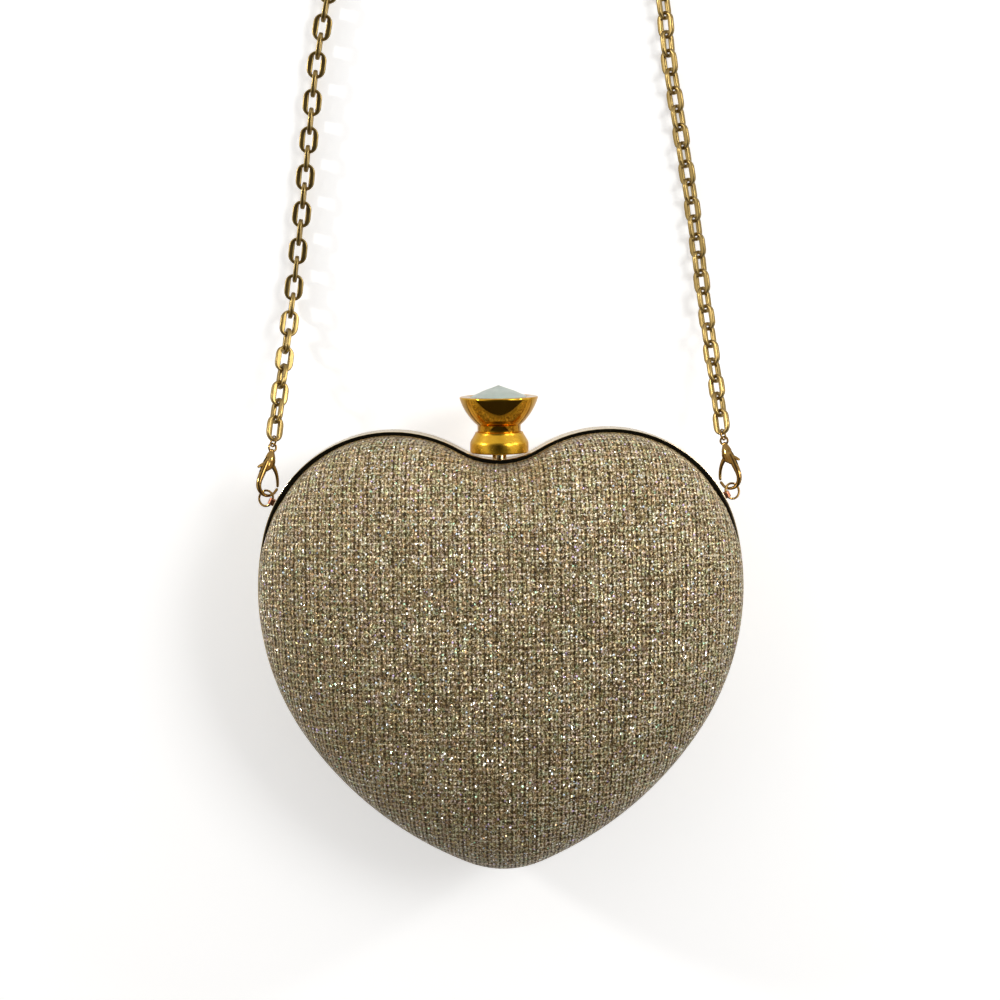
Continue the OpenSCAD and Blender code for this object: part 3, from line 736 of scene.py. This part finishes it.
def tumble(piece, cutter=None):
    """Melts a piece's overlapping parts together, cuts a slot and rounds all edges."""
    skin = piece.modifiers.new("skin", "REMESH")
    skin.mode = "VOXEL"
    skin.voxel_size = fine_voxel
    if cutter:
        slot_cut = piece.modifiers.new("slot", "BOOLEAN")
        slot_cut.object = cutter
    soften = piece.modifiers.new("soften", "SMOOTH")
    soften.iterations = soft_passes
    soften.factor = 0.5
    applied(piece)
    piece.data.shade_smooth()
    print(piece.name, "has", len(piece.data.vertices), "points")


def copied(node, name):
    piece = new_object(name, nodes[node].data.copy())
    piece.data.shade_smooth()
    piece.data.materials.clear()
    return piece


lugs = []
wires = []
for side in ("left", "right"):
    lug = copied(f"{side}_lug", f"{side}_lug_cast")
    tumble(lug)
    stand_for(lug, "purse_back", "gilt", f"{side}_lug")
    lugs.append(lug)
    for kind in ("ring", "end_ring"):
        wire = copied(f"{side}_{kind}", f"{side}_{kind}_wire")
        stand_for(wire, "purse_back", "chain", f"{side}_{kind}")
        wires.append(wire)

# %% [markdown]
# ## Spring clasps
# A spring clasp is cast in one teardrop: an eye, a wedge of two cheeks and a
# slim arm that bends round into the hook. A sprung lever between the cheeks
# shuts the mouth, and its thumb spur stands out of the back. Each part is a
# bar whose way, width and thickness are written point by point, and a voxel
# remesh melts the bars into one casting. The box of the slot is cut after it.

# %% Bars of a clasp
eye_mid_r = 1.475
eye_wire_r = 0.425
# Each row is x, y, half the width and half the thickness in millimetres, the eye at 0 and the hook along +X
wedge_way = [[1.3, 0, 0.9, 0.5], [2.6, 0.15, 1.6, 0.85], [4, 0.25, 2.1, 1.15], [5.6, 0.35, 2.5, 1.35],
             [7, 0.8, 2.2, 1.35], [8.2, 1.5, 1.4, 1.2]]
hook_way = [[5.6, 1.3, 1.5, 1.3], [7.4, 1.95, 1.4, 1.35], [9.2, 2.5, 1.3, 1.35], [11, 3, 1.2, 1.3],
            [13, 3.5, 1.05, 1.2], [14.9, 3.6, 0.95, 1.1], [16.5, 2.95, 0.85, 0.95], [17.7, 1.7, 0.78, 0.8],
            [18.22, 0.1, 0.62, 0.75], [17.95, -1.6, 0.56, 0.75], [17, -3.05, 0.54, 0.7],
            [15.15, -4.05, 0.55, 0.6]]
lever_way = [[5.4, 1.3, 0.8, 0.5], [6, 0, 1.1, 0.5], [7.1, -1.5, 0.95, 0.5], [8.8, -2.75, 0.75, 0.5],
             [10.8, -3.6, 0.66, 0.5], [12.6, -4.05, 0.6, 0.5], [13.9, -4.2, 0.52, 0.5]]
spur_way = [[5.4, -0.1, 0.8, 0.5], [6.2, 1.4, 1.05, 0.5], [7.1, 3.1, 0.8, 0.5], [8.1, 4.6, 0.5, 0.45]]
bar_sides = 20
cap_turns = (75, 50, 25)
corner_cuts = 3
slot_low = [4, -5, -0.65]
slot_high = [9.9, 6.5, 0.65]


def softened(rows):
    """Cuts the corners of a way again and again, which turns it into a smooth curve."""
    rows = np.array(rows, dtype=float)
    for _ in range(corner_cuts):
        quarters = 0.75 * rows[:-1] + 0.25 * rows[1:]
        threes = 0.25 * rows[:-1] + 0.75 * rows[1:]
        rows = np.concatenate([rows[:1], np.stack([quarters, threes], axis=1).reshape(-1, 4), rows[-1:]])
    return rows


def bar(rows, closed=False):
    """Oval sections along a flat way. An open bar ends in round caps."""
    rows = np.asarray(rows, dtype=float)
    if not closed:
        rows = softened(rows)
    along = np.roll(rows, -1, axis=0) - np.roll(rows, 1, axis=0) if closed else np.gradient(rows, axis=0)
    ahead = along[:, :2] / np.linalg.norm(along[:, :2], axis=1, keepdims=True)
    sections = []
    turns = np.radians(ring_turns(bar_sides))
    caps = [] if closed else [(math.cos(turn), math.sin(turn)) for turn in np.radians(cap_turns)]
    for k, (x, y, half_w, half_t) in enumerate(rows):
        slices = [(1, 0)]
        if k == 0:
            slices = [(shrink, -push) for shrink, push in caps] + slices
        if k == len(rows) - 1:
            slices += caps[::-1]
        for shrink, push in slices:
            middle = np.array([x, y]) + push * half_w * ahead[k]
            flat = middle + half_w * shrink * np.cos(turns)[:, None] * [-ahead[k][1], ahead[k][0]]
            sections.append(np.column_stack([flat, half_t * shrink * np.sin(turns)]))
    points = np.array(sections)
    faces = band_faces(len(points), bar_sides, ring=closed)
    if not closed:
        last = (len(points) - 1) * bar_sides
        faces += [tuple(range(bar_sides))[::-1], tuple(range(last, last + bar_sides))]
    return points.reshape(-1, 3), faces


eye_sides = 32
eye_way = np.column_stack([polar(eye_mid_r, ring_turns(eye_sides)), np.full((eye_sides, 2), eye_wire_r)])
print("points of a hook's bar:", len(bar(hook_way)[0]))

# %% Place clasps and levers
lug_angle = 27
lug_h = -2.6 * mm
eye_off = mm * np.array([1.1, 20.3, -5.5])
lug_at = np.array([*(lobe_c + polar(lobe_r, lug_angle)), part_z + lug_h])
clasp_angles = (32, -14, -82)
clasp_turn = np.array(Euler(np.radians(clasp_angles), "XYZ").to_matrix())


def at_clasp(points, side):
    placed_at = lug_at + eye_off + mm * np.asarray(points) @ clasp_turn.T
    return placed_at * [side, 1, 1]


cast = []
for side, word in ((1, "right"), (-1, "left")):
    slot_box = new_piece("slot", at_clasp(box_points(slot_low, slot_high), side), facing(box_faces, side))
    for kind, bars, body, cutter in (
            ("clasp", [bar(wedge_way), bar(hook_way), bar(eye_way, closed=True)], "purse_back", slot_box),
            ("lever", [bar(lever_way), bar(spur_way)], f"{word}_lever_body", None)):
        points, faces = joined(bars)
        piece = new_piece(f"{word}_{kind}_cast", at_clasp(points, side), facing(faces, side))
        tumble(piece, cutter)
        stand_for(piece, body, "chain", f"{word}_{kind}")
        cast.append(piece)
    bpy.data.objects.remove(slot_box)

# %% [markdown]
# ## Helpers for materials
# Every finish is made of the same few steps, so short helpers add a node and
# fill its inputs, fill the shader's own sockets, and make a node group with
# named inputs and outputs. A group is an effect, such as a weave or wear. It
# gives colours, masks and heights, and the shader stays in the material.

# %% Helpers for nodes
def fill(node, inputs):
    """Gives each input its value, or a link where the value is another node's output."""
    for socket, value in dict(inputs).items():
        if isinstance(value, bpy.types.NodeSocket):
            node.id_data.links.new(value, node.inputs[socket])
        else:
            node.inputs[socket].default_value = value
    return node


def new_node(tree, kind, inputs=(), **settings):
    """Adds a node to a tree."""
    node = tree.nodes.new("ShaderNode" + kind)
    for name, value in settings.items():
        setattr(node, name, value)
    return fill(node, inputs)


def add(kind, inputs, **settings):
    """Adds a node to the tree of the outputs that it takes, which they know as their id_data."""
    inputs = dict(inputs)
    tree = next(value.id_data for value in inputs.values() if isinstance(value, bpy.types.NodeSocket))
    return new_node(tree, kind, inputs, **settings)


def surface(tree):
    """A point's place on the piece, in metres."""
    return new_node(tree, "TexCoord").outputs["Object"]


def maths(operation, *values):
    return add("Math", enumerate(values), operation=operation).outputs[0]


def between(share, start, end):
    """The start where the share is 0, the end where it is 1, and evenly in between."""
    return maths("MULTIPLY_ADD", share, end - start, start)


def step_between(value, low, high):
    inputs = {"Value": value, "From Min": low, "From Max": high}
    return add("MapRange", inputs, interpolation_type="SMOOTHSTEP").outputs[0]


def vectors(operation, *values, **named):
    return add("VectorMath", {**dict(enumerate(values)), **named}, operation=operation).outputs[0]


def noise(place, scale, detail, output="Fac"):
    return add("TexNoise", {"Vector": place, "Scale": scale, "Detail": detail}).outputs[output]


def ramp(factor, stops, interpolation="LINEAR"):
    node = add("ValToRGB", {0: factor})
    node.color_ramp.interpolation = interpolation
    while len(node.color_ramp.elements) < len(stops):
        node.color_ramp.elements.new(1)
    for element, (position, colour) in zip(node.color_ramp.elements, stops):
        element.position = position
        element.color = (*colour, 1)
    return node.outputs[0]


def mix_colour(factor, first, second, blend="MIX"):
    first, second = [(*value, 1) if isinstance(value, tuple) else value for value in (first, second)]
    node = add("Mix", {0: factor, 6: first, 7: second}, data_type="RGBA", blend_type=blend)
    return node.outputs[2]


def bumped(height, distance, strength, **normal):
    inputs = {"Height": height, "Distance": distance, "Strength": strength, **normal}
    return add("Bump", inputs).outputs[0]


# %% Helpers for groups and materials
def new_group(name, inputs, outputs):
    """A node group. Each input has its value, or None for a vector, and each output has its kind."""
    tree = bpy.data.node_groups.new(name, "ShaderNodeTree")
    for socket, value in inputs.items():
        kind = "Vector" if value is None else "Float"
        made = tree.interface.new_socket(socket, in_out="INPUT", socket_type="NodeSocket" + kind)
        if value is not None:
            made.default_value = value
    for socket, kind in outputs.items():
        tree.interface.new_socket(socket, in_out="OUTPUT", socket_type="NodeSocket" + kind)
    print("group", name, "gives", ", ".join(outputs))
    return tree, tree.nodes.new("NodeGroupInput").outputs, tree.nodes.new("NodeGroupOutput")


def use_group(group, inputs):
    return add("Group", inputs, node_tree=group).outputs


def drive(shader, **sockets):
    """Fills sockets of a shader, in whose names _ stands for a space."""
    fill(shader, {name.replace("_", " "): value for name, value in sockets.items()})


def new_material(name, **sockets):
    made = bpy.data.materials.new(name)
    made.use_nodes = True
    shader = made.node_tree.nodes["Principled BSDF"]
    drive(shader, **sockets)
    return made, made.node_tree, shader


def dress(finish, pieces):
    for piece in pieces:
        piece.data.materials.append(finish)
    print(finish.name, "is on", ", ".join(piece.name for piece in pieces))


# %% [markdown]
# ## Glitter cloth
# The cloth is a loose weave of flat metallic yarn. Pale threads cross at a
# pitch of one and a half by about two millimetres, every third gap is wider
# and darker, and each thread is covered in tiny foil flakes. Two groups make
# it: one draws the weave, the other scatters flakes that each have a colour
# and a lean of their own, so that only some catch the lamps.

# %% Weave group
weave, given, out = new_group(
    "loose weave", {"Cloth": None, "Cord width": 1.53, "Row height": 2.3, "Waver": 0.5},
    {"Gap": "Float", "Height": "Float", "Row thread": "Float"})
# Gaps and edges are shares of the way from the middle of a thread to half way to the next one
plain_gap_shares = (0.45, 1)
wide_gap_shares = (0.2, 0.85)
row_gap_shares = (0.12, 0.6)
row_edge_shares = (0.08, 0.34)
plain_depth_share = 0.8
rib_share = 0.3
row_height_share = 0.8
drift_scale = 0.16
wobble_scale = 0.8
wide_every = 3
drift = noise(given["Cloth"], drift_scale, 1.0, "Color")
wobble = noise(given["Cloth"], wobble_scale, 1.0, "Color")
centred = vectors("SUBTRACT", vectors("ADD", drift, wobble), (1, 1, 1))
moved = vectors("SCALE", centred, Scale=given["Waver"])
bent = vectors("ADD", given["Cloth"], moved)
parts = add("SeparateXYZ", {0: bent}).outputs
column = maths("DIVIDE", parts[0], given["Cord width"])
row = maths("DIVIDE", parts[1], given["Row height"])
across = maths("MULTIPLY", maths("PINGPONG", column, 0.5), 2)
along = maths("MULTIPLY", maths("PINGPONG", row, 0.5), 2)
third = maths("COMPARE", maths("FLOORED_MODULO", maths("FLOOR", column), wide_every), 1, 0.5)
# Every third gap starts nearer to the middle of its cord, and is darker
gap_low, gap_high = (between(third, plain, wide) for plain, wide in zip(plain_gap_shares, wide_gap_shares))
between_cords = step_between(across, gap_low, gap_high)
between_rows = between(step_between(along, *row_gap_shares), rib_share, 1)
depth = between(third, plain_depth_share, 1)
gap = maths("MULTIPLY", maths("MULTIPLY", between_cords, between_rows), depth)
row_thread = maths("SUBTRACT", 1, step_between(along, *row_edge_shares))
cord = maths("SQRT", maths("SUBTRACT", 1.01, maths("MULTIPLY", across, across)))
height = maths("MAXIMUM", cord, maths("MULTIPLY", row_thread, row_height_share))
fill(out, {"Gap": gap, "Height": height, "Row thread": row_thread})

# %% Flake group
flakes, given, out = new_group(
    "foil flakes", {"Cloth": None, "Flake size": 0.45, "Lean": 1.0},
    {"Grain": "Float", "Tint": "Color", "Normal": "Vector", "Spark": "Float"})
spark_limit = 0.86
spark_r = 0.42
spark_lean = 1.6
big_share = 0.5
tint_spread = 7.3


def scattered(place, scale):
    """Cells of a Voronoi pattern, and three chances that are the same all over a cell."""
    cells = add("TexVoronoi", {"Vector": place, "Scale": scale}).outputs
    return cells, add("SeparateColor", {0: cells["Color"]}).outputs


scale = maths("DIVIDE", 1, given["Flake size"])
cells, chance = scattered(given["Cloth"], scale)
big_cells, big_chance = scattered(given["Cloth"], maths("MULTIPLY", scale, big_share))
tint = ramp(maths("FRACT", maths("MULTIPLY", big_chance[2], tint_spread)), [
    (0, (1, 0.97, 0.9)), (0.45, (0.85, 0.66, 1)), (0.56, (0.66, 1, 0.7)), (0.66, (1, 0.66, 0.36)),
    (0.78, (1, 0.92, 0.45)), (0.88, (0.75, 0.88, 1))], "CONSTANT")
spark_cell = maths("GREATER_THAN", big_chance[0], spark_limit)
spark_near = maths("LESS_THAN", big_cells["Distance"], spark_r)
spark = maths("MULTIPLY", spark_cell, spark_near)
spark_way = add("CombineXYZ", {0: big_chance[1], 1: big_chance[2], 2: 0.5}).outputs[0]
ways = {0: spark, 4: cells["Color"], 5: spark_way}
flake_way = add("Mix", ways, data_type="VECTOR").outputs[1]
lean = vectors("SUBTRACT", flake_way, (0.5, 0.5, 0.5))
lean_more = maths("MULTIPLY", given["Lean"], between(spark, 1, spark_lean))
leaned = vectors("SCALE", lean, Scale=lean_more)
facing_out = new_node(flakes, "NewGeometry").outputs["Normal"]
turned_way = vectors("NORMALIZE", vectors("ADD", facing_out, leaned))
fill(out, {"Grain": chance[0], "Tint": tint, "Normal": turned_way, "Spark": spark})

# %% Cloth material
glitter, tree, shader = new_material("glitter cloth", Specular_IOR_Level=0.4, Sheen_Weight=0.2,
                                     Sheen_Roughness=0.3)
cloth_map = new_node(tree, "UVMap", uv_map="cloth").outputs[0]
woven = use_group(weave, {"Cloth": cloth_map})
foil_bits = use_group(flakes, {"Cloth": cloth_map})
patches = noise(cloth_map, 0.05, 3.0)
grain_share = 0.78
patch_share = 0.2
thread_share = 0.1
gap_share = 0.5
darker_by = -0.02
tone = maths("MULTIPLY_ADD", foil_bits["Grain"], grain_share, darker_by)
tone = maths("ADD", tone, maths("MULTIPLY", patches, patch_share))
tone = maths("ADD", tone, maths("MULTIPLY", woven["Row thread"], thread_share))
tone = maths("SUBTRACT", tone, maths("MULTIPLY", woven["Gap"], gap_share))
yarn = ramp(tone, [
    (0, (0.045, 0.028, 0.006)), (0.2, (0.13, 0.085, 0.028)), (0.42, (0.34, 0.255, 0.13)),
    (0.65, (0.58, 0.49, 0.31)), (0.9, (1, 0.95, 0.82))])
stain = ramp(noise(cloth_map, 0.25, 2.0), [
    (0.32, (0.85, 1, 0.8)), (0.46, (1, 0.96, 0.86)), (0.56, (1, 0.9, 0.72)), (0.68, (0.96, 0.86, 1))])
stain_share = 0.6
tint_share = 0.4
yarn = mix_colour(stain_share, yarn, stain, "MULTIPLY")
yarn = mix_colour(tint_share, yarn, foil_bits["Tint"], "MULTIPLY")
spark_polish = 0.16
cord_relief = 0.45 * mm
rough = between(woven["Gap"], 0.3, 0.7)
drive(shader,
      Base_Color=mix_colour(foil_bits["Spark"], yarn, foil_bits["Tint"]),
      Roughness=maths("SUBTRACT", rough, maths("MULTIPLY", foil_bits["Spark"], spark_polish)),
      Metallic=between(foil_bits["Spark"], 0.4, 0.9),
      Normal=bumped(woven["Height"], cord_relief, 0.9, Normal=foil_bits["Normal"]))
dress(glitter, domes["cloth"])

# %% [markdown]
# ## Satin lining
# The lining is a pale gold satin. Its fine threads are nearly invisible, but
# its broad soft sheen shows it to be cloth, so the shader's sheen does most
# of the work and the weave, made much finer, breaks the highlight. A noise
# that stands for creases paints darker colour where they would fall into shade.

# %% Lining material
satin, tree, shader = new_material("satin lining", Sheen_Weight=0.4, Sheen_Roughness=0.35)
cloth_map = new_node(tree, "UVMap", uv_map="cloth").outputs[0]
fine = use_group(weave, {"Cloth": cloth_map, "Cord width": 0.45, "Row height": 0.6, "Waver": 0.2})
# The noise stands for creases. Where it is low, the colour is darker, a painted crease shade, and the satin
# is less rough.
crease_shade_noise = noise(cloth_map, 0.08, 4.0)
painted_crease_shade = ramp(crease_shade_noise, [(0.3, (0.58, 0.46, 0.285)), (0.7, (0.68, 0.56, 0.37))])
drive(shader,
      Base_Color=mix_colour(maths("MULTIPLY", fine["Gap"], 0.5), painted_crease_shade, (0.3, 0.22, 0.12)),
      Roughness=between(crease_shade_noise, 0.3, 0.55),
      Normal=bumped(fine["Height"], 0.08 * mm, 0.5))
dress(satin, domes["satin"])

# %% [markdown]
# ## Gilt metals
# Rim, knob, chain and clasps are plated, and each shows the same traces of
# use: smudges that dull the shine in patches, fine pits, and warmer metal
# where the plating is thin. One group holds these effects, and each metal
# sets how strong they are.

# %% Wear group
wear, given, out = new_group(
    "plating wear", {"Place": None, "Smudge": 0.1, "Shine": 0.12, "Thin": 0.3},
    {"Roughness": "Float", "Warmth": "Float", "Height": "Float"})
smear_scale = 220
pit_scale = 2600
thin_scale = 420
smear = noise(given["Place"], smear_scale, 3)
pits = noise(given["Place"], pit_scale, 2)
thin = noise(given["Place"], thin_scale, 2)
dulled = maths("MULTIPLY_ADD", smear, given["Smudge"], given["Shine"])
warm = maths("MULTIPLY", maths("SMOOTH_MIN", thin, 0.7, 0.1), given["Thin"])
fill(out, {"Roughness": dulled, "Warmth": warm, "Height": pits})


# %% Plated metals
def plated(name, colour, deep, shine, smudge, thinness, pit):
    """A metal with its colour, a deeper one where it is thin, its roughness and the depth of its pits."""
    made, tree, shader = new_material(name, Metallic=1)
    place = surface(tree)
    worn = use_group(wear, {"Place": place, "Smudge": smudge, "Shine": shine, "Thin": thinness})
    drive(shader, Base_Color=mix_colour(worn["Warmth"], colour, deep), Roughness=worn["Roughness"],
          Normal=bumped(worn["Height"], pit, 0.4))
    return made


collar_gilt = plated("collar gilt", (0.76, 0.46, 0.04), (0.5, 0.2, 0.01), 0.2, 0.12, 0.7, 0.07 * mm)
rim_gilt = plated("rim gilt", (0.86, 0.74, 0.52), (0.7, 0.5, 0.25), 0.06, 0.08, 0.4, 0.01 * mm)
knob_gilt = plated("knob gilt", (0.74, 0.44, 0.04), (0.46, 0.17, 0.01), 0.05, 0.06, 0.75, 0.02 * mm)
chain_gilt = plated("chain gilt", (0.45, 0.32, 0.115), (0.19, 0.12, 0.037), 0.25, 0.14, 0.9, 0.03 * mm)
clasp_gilt = plated("clasp gilt", (0.38, 0.25, 0.075), (0.17, 0.07, 0.02), 0.05, 0.07, 0.9, 0.02 * mm)
lug_copper = plated("lug copper", (0.5, 0.22, 0.12), (0.3, 0.08, 0.04), 0.2, 0.12, 0.6, 0.02 * mm)
bare_steel = plated("bare steel", (0.56, 0.56, 0.55), (0.35, 0.33, 0.3), 0.25, 0.2, 0.5, 0.03 * mm)
dress(rim_gilt, rims)
dress(knob_gilt, [bowl])
dress(collar_gilt, [collar])
# The foot of the collar takes the paler rim gilt. This is a painted pale reflection, which makes the foot
# look white where it stands on the dip.
dress(rim_gilt, [collar])
for face in collar.data.polygons:
    from_axis = math.hypot(face.center.x, face.center.z - part_z)
    if face.center.y < foot_top and from_axis < foot_r + soft_r:
        face.material_index = 1
dress(chain_gilt, [chain])
dress(lug_copper, lugs)
dress(clasp_gilt, cast + wires)

# %% [markdown]
# ## Stone and foil
# The stone is clear glass with the faintest green. Under it lies a foil with
# a pale lacquer, which makes the stone look milky from any side. A mirror
# there would show the dark ceiling instead.

# %% Glass and foil materials
clear, tree, shader = new_material("stone glass", Base_Color=(0.86, 0.93, 0.89, 1), Metallic=0,
                                   Transmission_Weight=1, IOR=1.52)
polish = noise(surface(tree), 900.0, 2.0)
drive(shader, Roughness=maths("MULTIPLY", polish, 0.08))
dress(clear, [stone])
foil_pale, tree, shader = new_material("foil lacquer", Metallic=0.2, Roughness=0.45)
crinkle = noise(surface(tree), 500.0, 3.0)
drive(shader, Base_Color=ramp(crinkle, [(0.3, (0.76, 0.82, 0.78)), (0.7, (0.84, 0.88, 0.84))]),
      Normal=bumped(crinkle, 0.1 * mm, 0.4))
dress(foil_pale, [foil])

# %% [markdown]
# ## Board and hidden pieces
# Under cloth and lining each half is a moulded board of pressed fibres, which
# only shows as a thin edge. The hinge, the pins and the latch keep their
# measured meshes. They get a fine bevel, because a real edge always catches
# some light, and the metals made above.

# %% Board and hidden pieces
board, tree, shader = new_material("grey board", Roughness=0.8)
fibres = noise(surface(tree), 700.0, 6.0)
drive(shader, Base_Color=ramp(fibres, [(0.35, (0.12, 0.115, 0.1)), (0.65, (0.26, 0.25, 0.22))]),
      Normal=bumped(fibres, 0.1 * mm, 0.5))
dress(board, domes["board"])
hidden_steel = ("hinge_pin", "catch_plate", "knob_stem", "knob_spring", "latch_hook", "stem_nut")
finishes = {
    "back_hinge": knob_gilt, "front_hinge": knob_gilt, "left_rivet": clasp_gilt, "right_rivet": clasp_gilt,
    **dict.fromkeys(hidden_steel, bare_steel)}
soft_edge = 0.12 * mm
for node, finish in finishes.items():
    piece = nodes[node]
    piece.data.materials.clear()
    dress(finish, [piece])
    if node != "knob_spring":
        edge = piece.modifiers.new("soft edge", "BEVEL")
        edge.width = soft_edge
        edge.segments = 2
        edge.limit_method = "ANGLE"
print("measured pieces kept:", len(finishes))

# %% [markdown]
# ## Floor and light
# The photograph was taken on white paper in a bright room with a darker
# ceiling, which is why the polished rim shows as a black line. Whoever stood
# at the tip's side to take it darkened that side too. A large soft lamp at
# the upper right draws the shadow that lies to the left, and two small lamps
# low at both sides put bright streaks on the cords of the cloth. The room is
# a sky that is pale near the horizon and dark overhead and towards the tip.

# %% Floor
floor_half = 3
floor_corners = [(x * floor_half, y * floor_half, 0) for x, y in ((-1, -1), (1, -1), (1, 1), (-1, 1))]
floor = new_piece("floor", floor_corners, [(0, 1, 2, 3)])
paper, tree, shader = new_material("white paper", Roughness=0.9, Base_Color=(0.95, 0.95, 0.95, 1),
                                   Emission_Color=(1, 1, 1, 1))
seen = new_node(tree, "LightPath").outputs
lift_share = 0.35
drive(shader, Emission_Strength=maths("MULTIPLY", seen["Is Camera Ray"], lift_share))
dress(paper, [floor])

# %% Room and lamps
world = bpy.data.worlds.new("room")
bpy.context.scene.world = world
world.use_nodes = True
tree = world.node_tree
tree.nodes.clear()
way = add("SeparateXYZ", {0: new_node(tree, "TexCoord").outputs["Generated"]}).outputs
walls = ramp(way[2], [
    (0, (1, 1, 1)), (0.6, (1, 0.98, 0.95)), (0.8, (0.16, 0.15, 0.14)), (0.945, (0.12, 0.11, 0.1)),
    (0.97, (0.004, 0.004, 0.003))])
stand = maths("MULTIPLY_ADD", way[1], -1, maths("MULTIPLY", way[2], -0.15))
room = mix_colour(ramp(stand, [(0.3, (0, 0, 0)), (0.5, (1, 1, 1))]), walls, (0.04, 0.035, 0.03))
seen = new_node(tree, "LightPath").outputs
shown = mix_colour(seen["Is Camera Ray"], room, (1, 1, 1))
sky = add("Background", {"Color": shown, "Strength": 1.0})
new_node(tree, "OutputWorld", {0: sky.outputs[0]})


def area_lamp(name, place, aim, width, height, power):
    lamp = bpy.data.lights.new(name, "AREA")
    lamp.shape = "RECTANGLE"
    lamp.size = width
    lamp.size_y = height
    lamp.energy = power
    made = new_object(name, lamp)
    made.location = place
    direction = np.array(aim) - np.array(place)
    made.rotation_euler = (math.atan2(math.hypot(direction[0], direction[1]), -direction[2]), 0,
                           math.atan2(direction[1], direction[0]) - math.pi / 2)
    print("lamp", name, "has", power, "watts")


area_lamp("key", (0.55, 0.33, 0.7), (0, 0, 0), 0.4, 0.3, 2.8)
area_lamp("left streak", (-0.75, 0.4, 0.32), (0, 0.02, 0), 0.08, 0.08, 3)
area_lamp("right streak", (0.75, 0.4, 0.32), (0, 0.02, 0), 0.08, 0.08, 1.6)
bpy.context.scene.view_settings.view_transform = "Standard"
